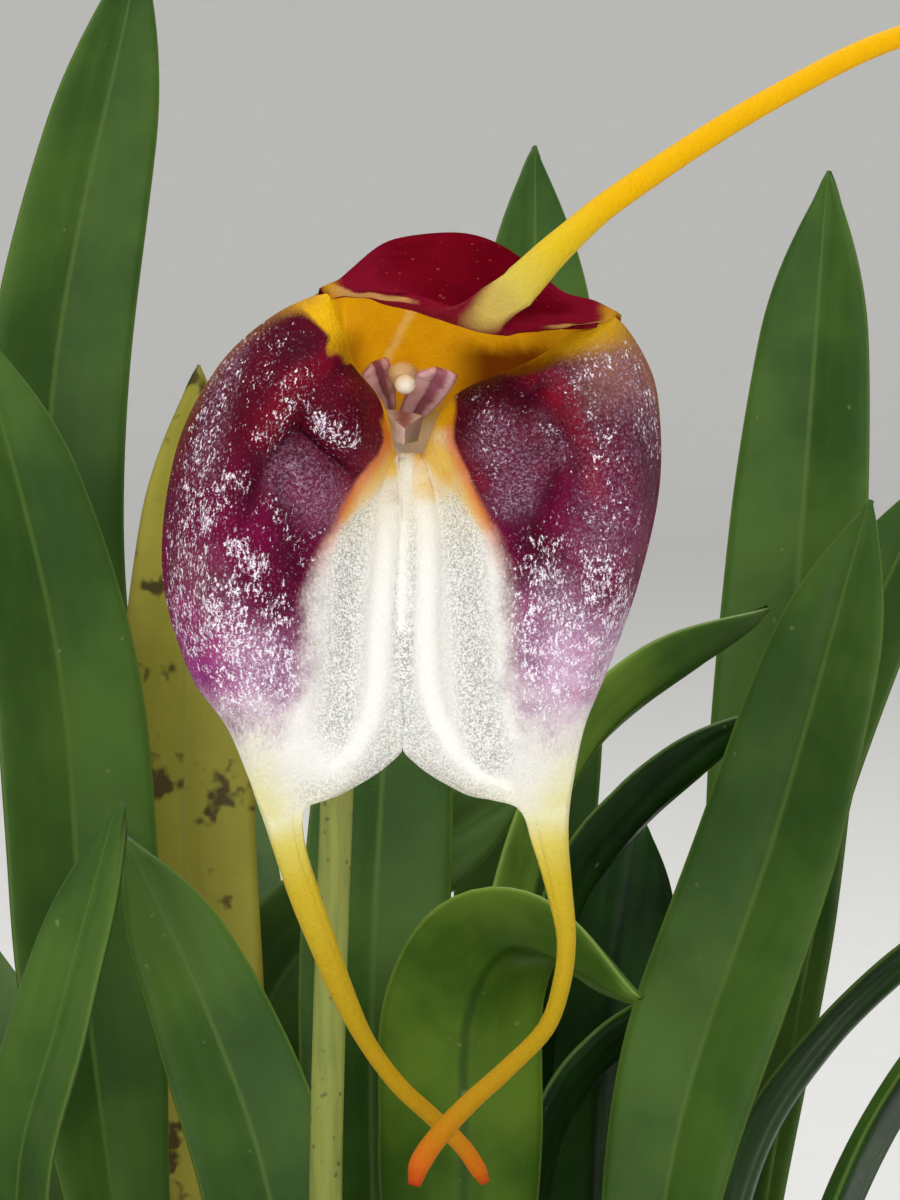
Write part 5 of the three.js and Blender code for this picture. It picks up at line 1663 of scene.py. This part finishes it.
# %% Pot
DRAINS, DRAIN_RADIUS, DRAIN_RING = 3, 4, 15
RING_DEPTH, PROFILE_STEP, TURNS = 0.12, 1.2, 144
BAND_FOOT = POT["height"] - POT["band"]
INNER = POT["rim"] - POT["wall"]
PROFILE = [
    (0, 0), (POT["foot"] - 1, 0), (POT["foot"], 1), (POT["shoulder"], BAND_FOOT), (POT["rim"] - 1, BAND_FOOT),
    (POT["rim"], BAND_FOOT + 1.5), (POT["rim"], POT["height"] - 1.5), (POT["rim"] - 1.5, POT["height"]),
    (INNER, POT["height"]), (INNER - 1, POT["height"] - 1.5), (POT["foot"] + 1.5 - POT["wall"], POT["floor"]),
    (0, POT["floor"]),
]
pot = add("circle", "clay_pot", vertices=3, radius=1, fill_type="NOTHING")
edit(pot, ("delete", {"type": "VERT"}))
profile = []
for (r0, z0), (r1, z1) in zip(PROFILE, PROFILE[1:]):
    steps = max(1, round(math.hypot(r1 - r0, z1 - z0) / PROFILE_STEP))
    for i in range(steps):
        r, z = mix(r0, r1, i / steps), mix(z0, z1, i / steps)
        ring = RING_DEPTH * math.sin(z * 2.1) * rise(z, 3, 8) * (r > 33)
        profile.append((max(0, r - abs(ring)), z))
profile.append(PROFILE[-1])
pot.data.from_pydata(
    [Vector((r, 0, z)) * MM for r, z in profile], [(i, i + 1) for i in range(len(profile) - 1)], []
)
pot.data.update()
edit(
    pot, ("spin", {"steps": TURNS, "angle": math.tau, "center": (0, 0, 0), "axis": (0, 0, 1)}),
    ("remove_doubles", {"threshold": 0.01 * MM}), ("normals_make_consistent", {"inside": False}),
)
for i in range(DRAINS):
    angle = i * math.tau / DRAINS + math.pi / 2
    hole = (DRAIN_RING * MM * math.cos(angle), DRAIN_RING * MM * math.sin(angle), 0)
    drill = add("cylinder", "drill", vertices=40, radius=DRAIN_RADIUS * MM, depth=20 * MM, location=hole)
    modify(pot, "BOOLEAN", object=drill, operation="DIFFERENCE", solver="EXACT")
    bpy.data.objects.remove(drill)
modify(pot, "BEVEL", width=0.5 * MM, segments=3, limit_method="ANGLE", angle_limit=math.radians(35))
select(pot)
bpy.ops.object.shade_smooth_by_angle(angle=math.radians(35))
print("pot of", len(pot.data.vertices), "vertices")

# %% [markdown]
# Fired clay is dull and a little blotchy, with pits, fine grit and pale stains where water has dried. Each of
# these is a noise or a field of cells at its own scale, laid over the clay's own two tones.

# %% Clay finish
clay = Finish("terracotta")
grain = clay.noise(0.9, 5, 0.6)
cloud = clay.noise(22, 5)
tone = clay.blend(clay.rise(cloud, 0.35, 0.65), paint(176, 98, 62), paint(198, 122, 84))
tone = clay.blend(clay.rise(grain, 0.4, 0.75) * 0.35, tone, paint(150, 78, 48))
bloom_stain = clay.rise(clay.noise(14, 5, 0.65, shift=4), 0.55, 0.72)
tone = clay.blend(bloom_stain * 0.5, tone, paint(222, 200, 178))
pits = clay.rise(clay.cells(2.4), 0.16, 0.08)
tone = clay.blend(pits * 0.5, tone, paint(110, 56, 36))
clay.feed(Base_Color=tone, Roughness=0.95 - grain * 0.15)
clay.bump(grain * 0.6 - pits * 0.8 + clay.noise(0.3, 2) * 0.3, 0.14)
dress(coat(pot, clay), "clay", "pot")
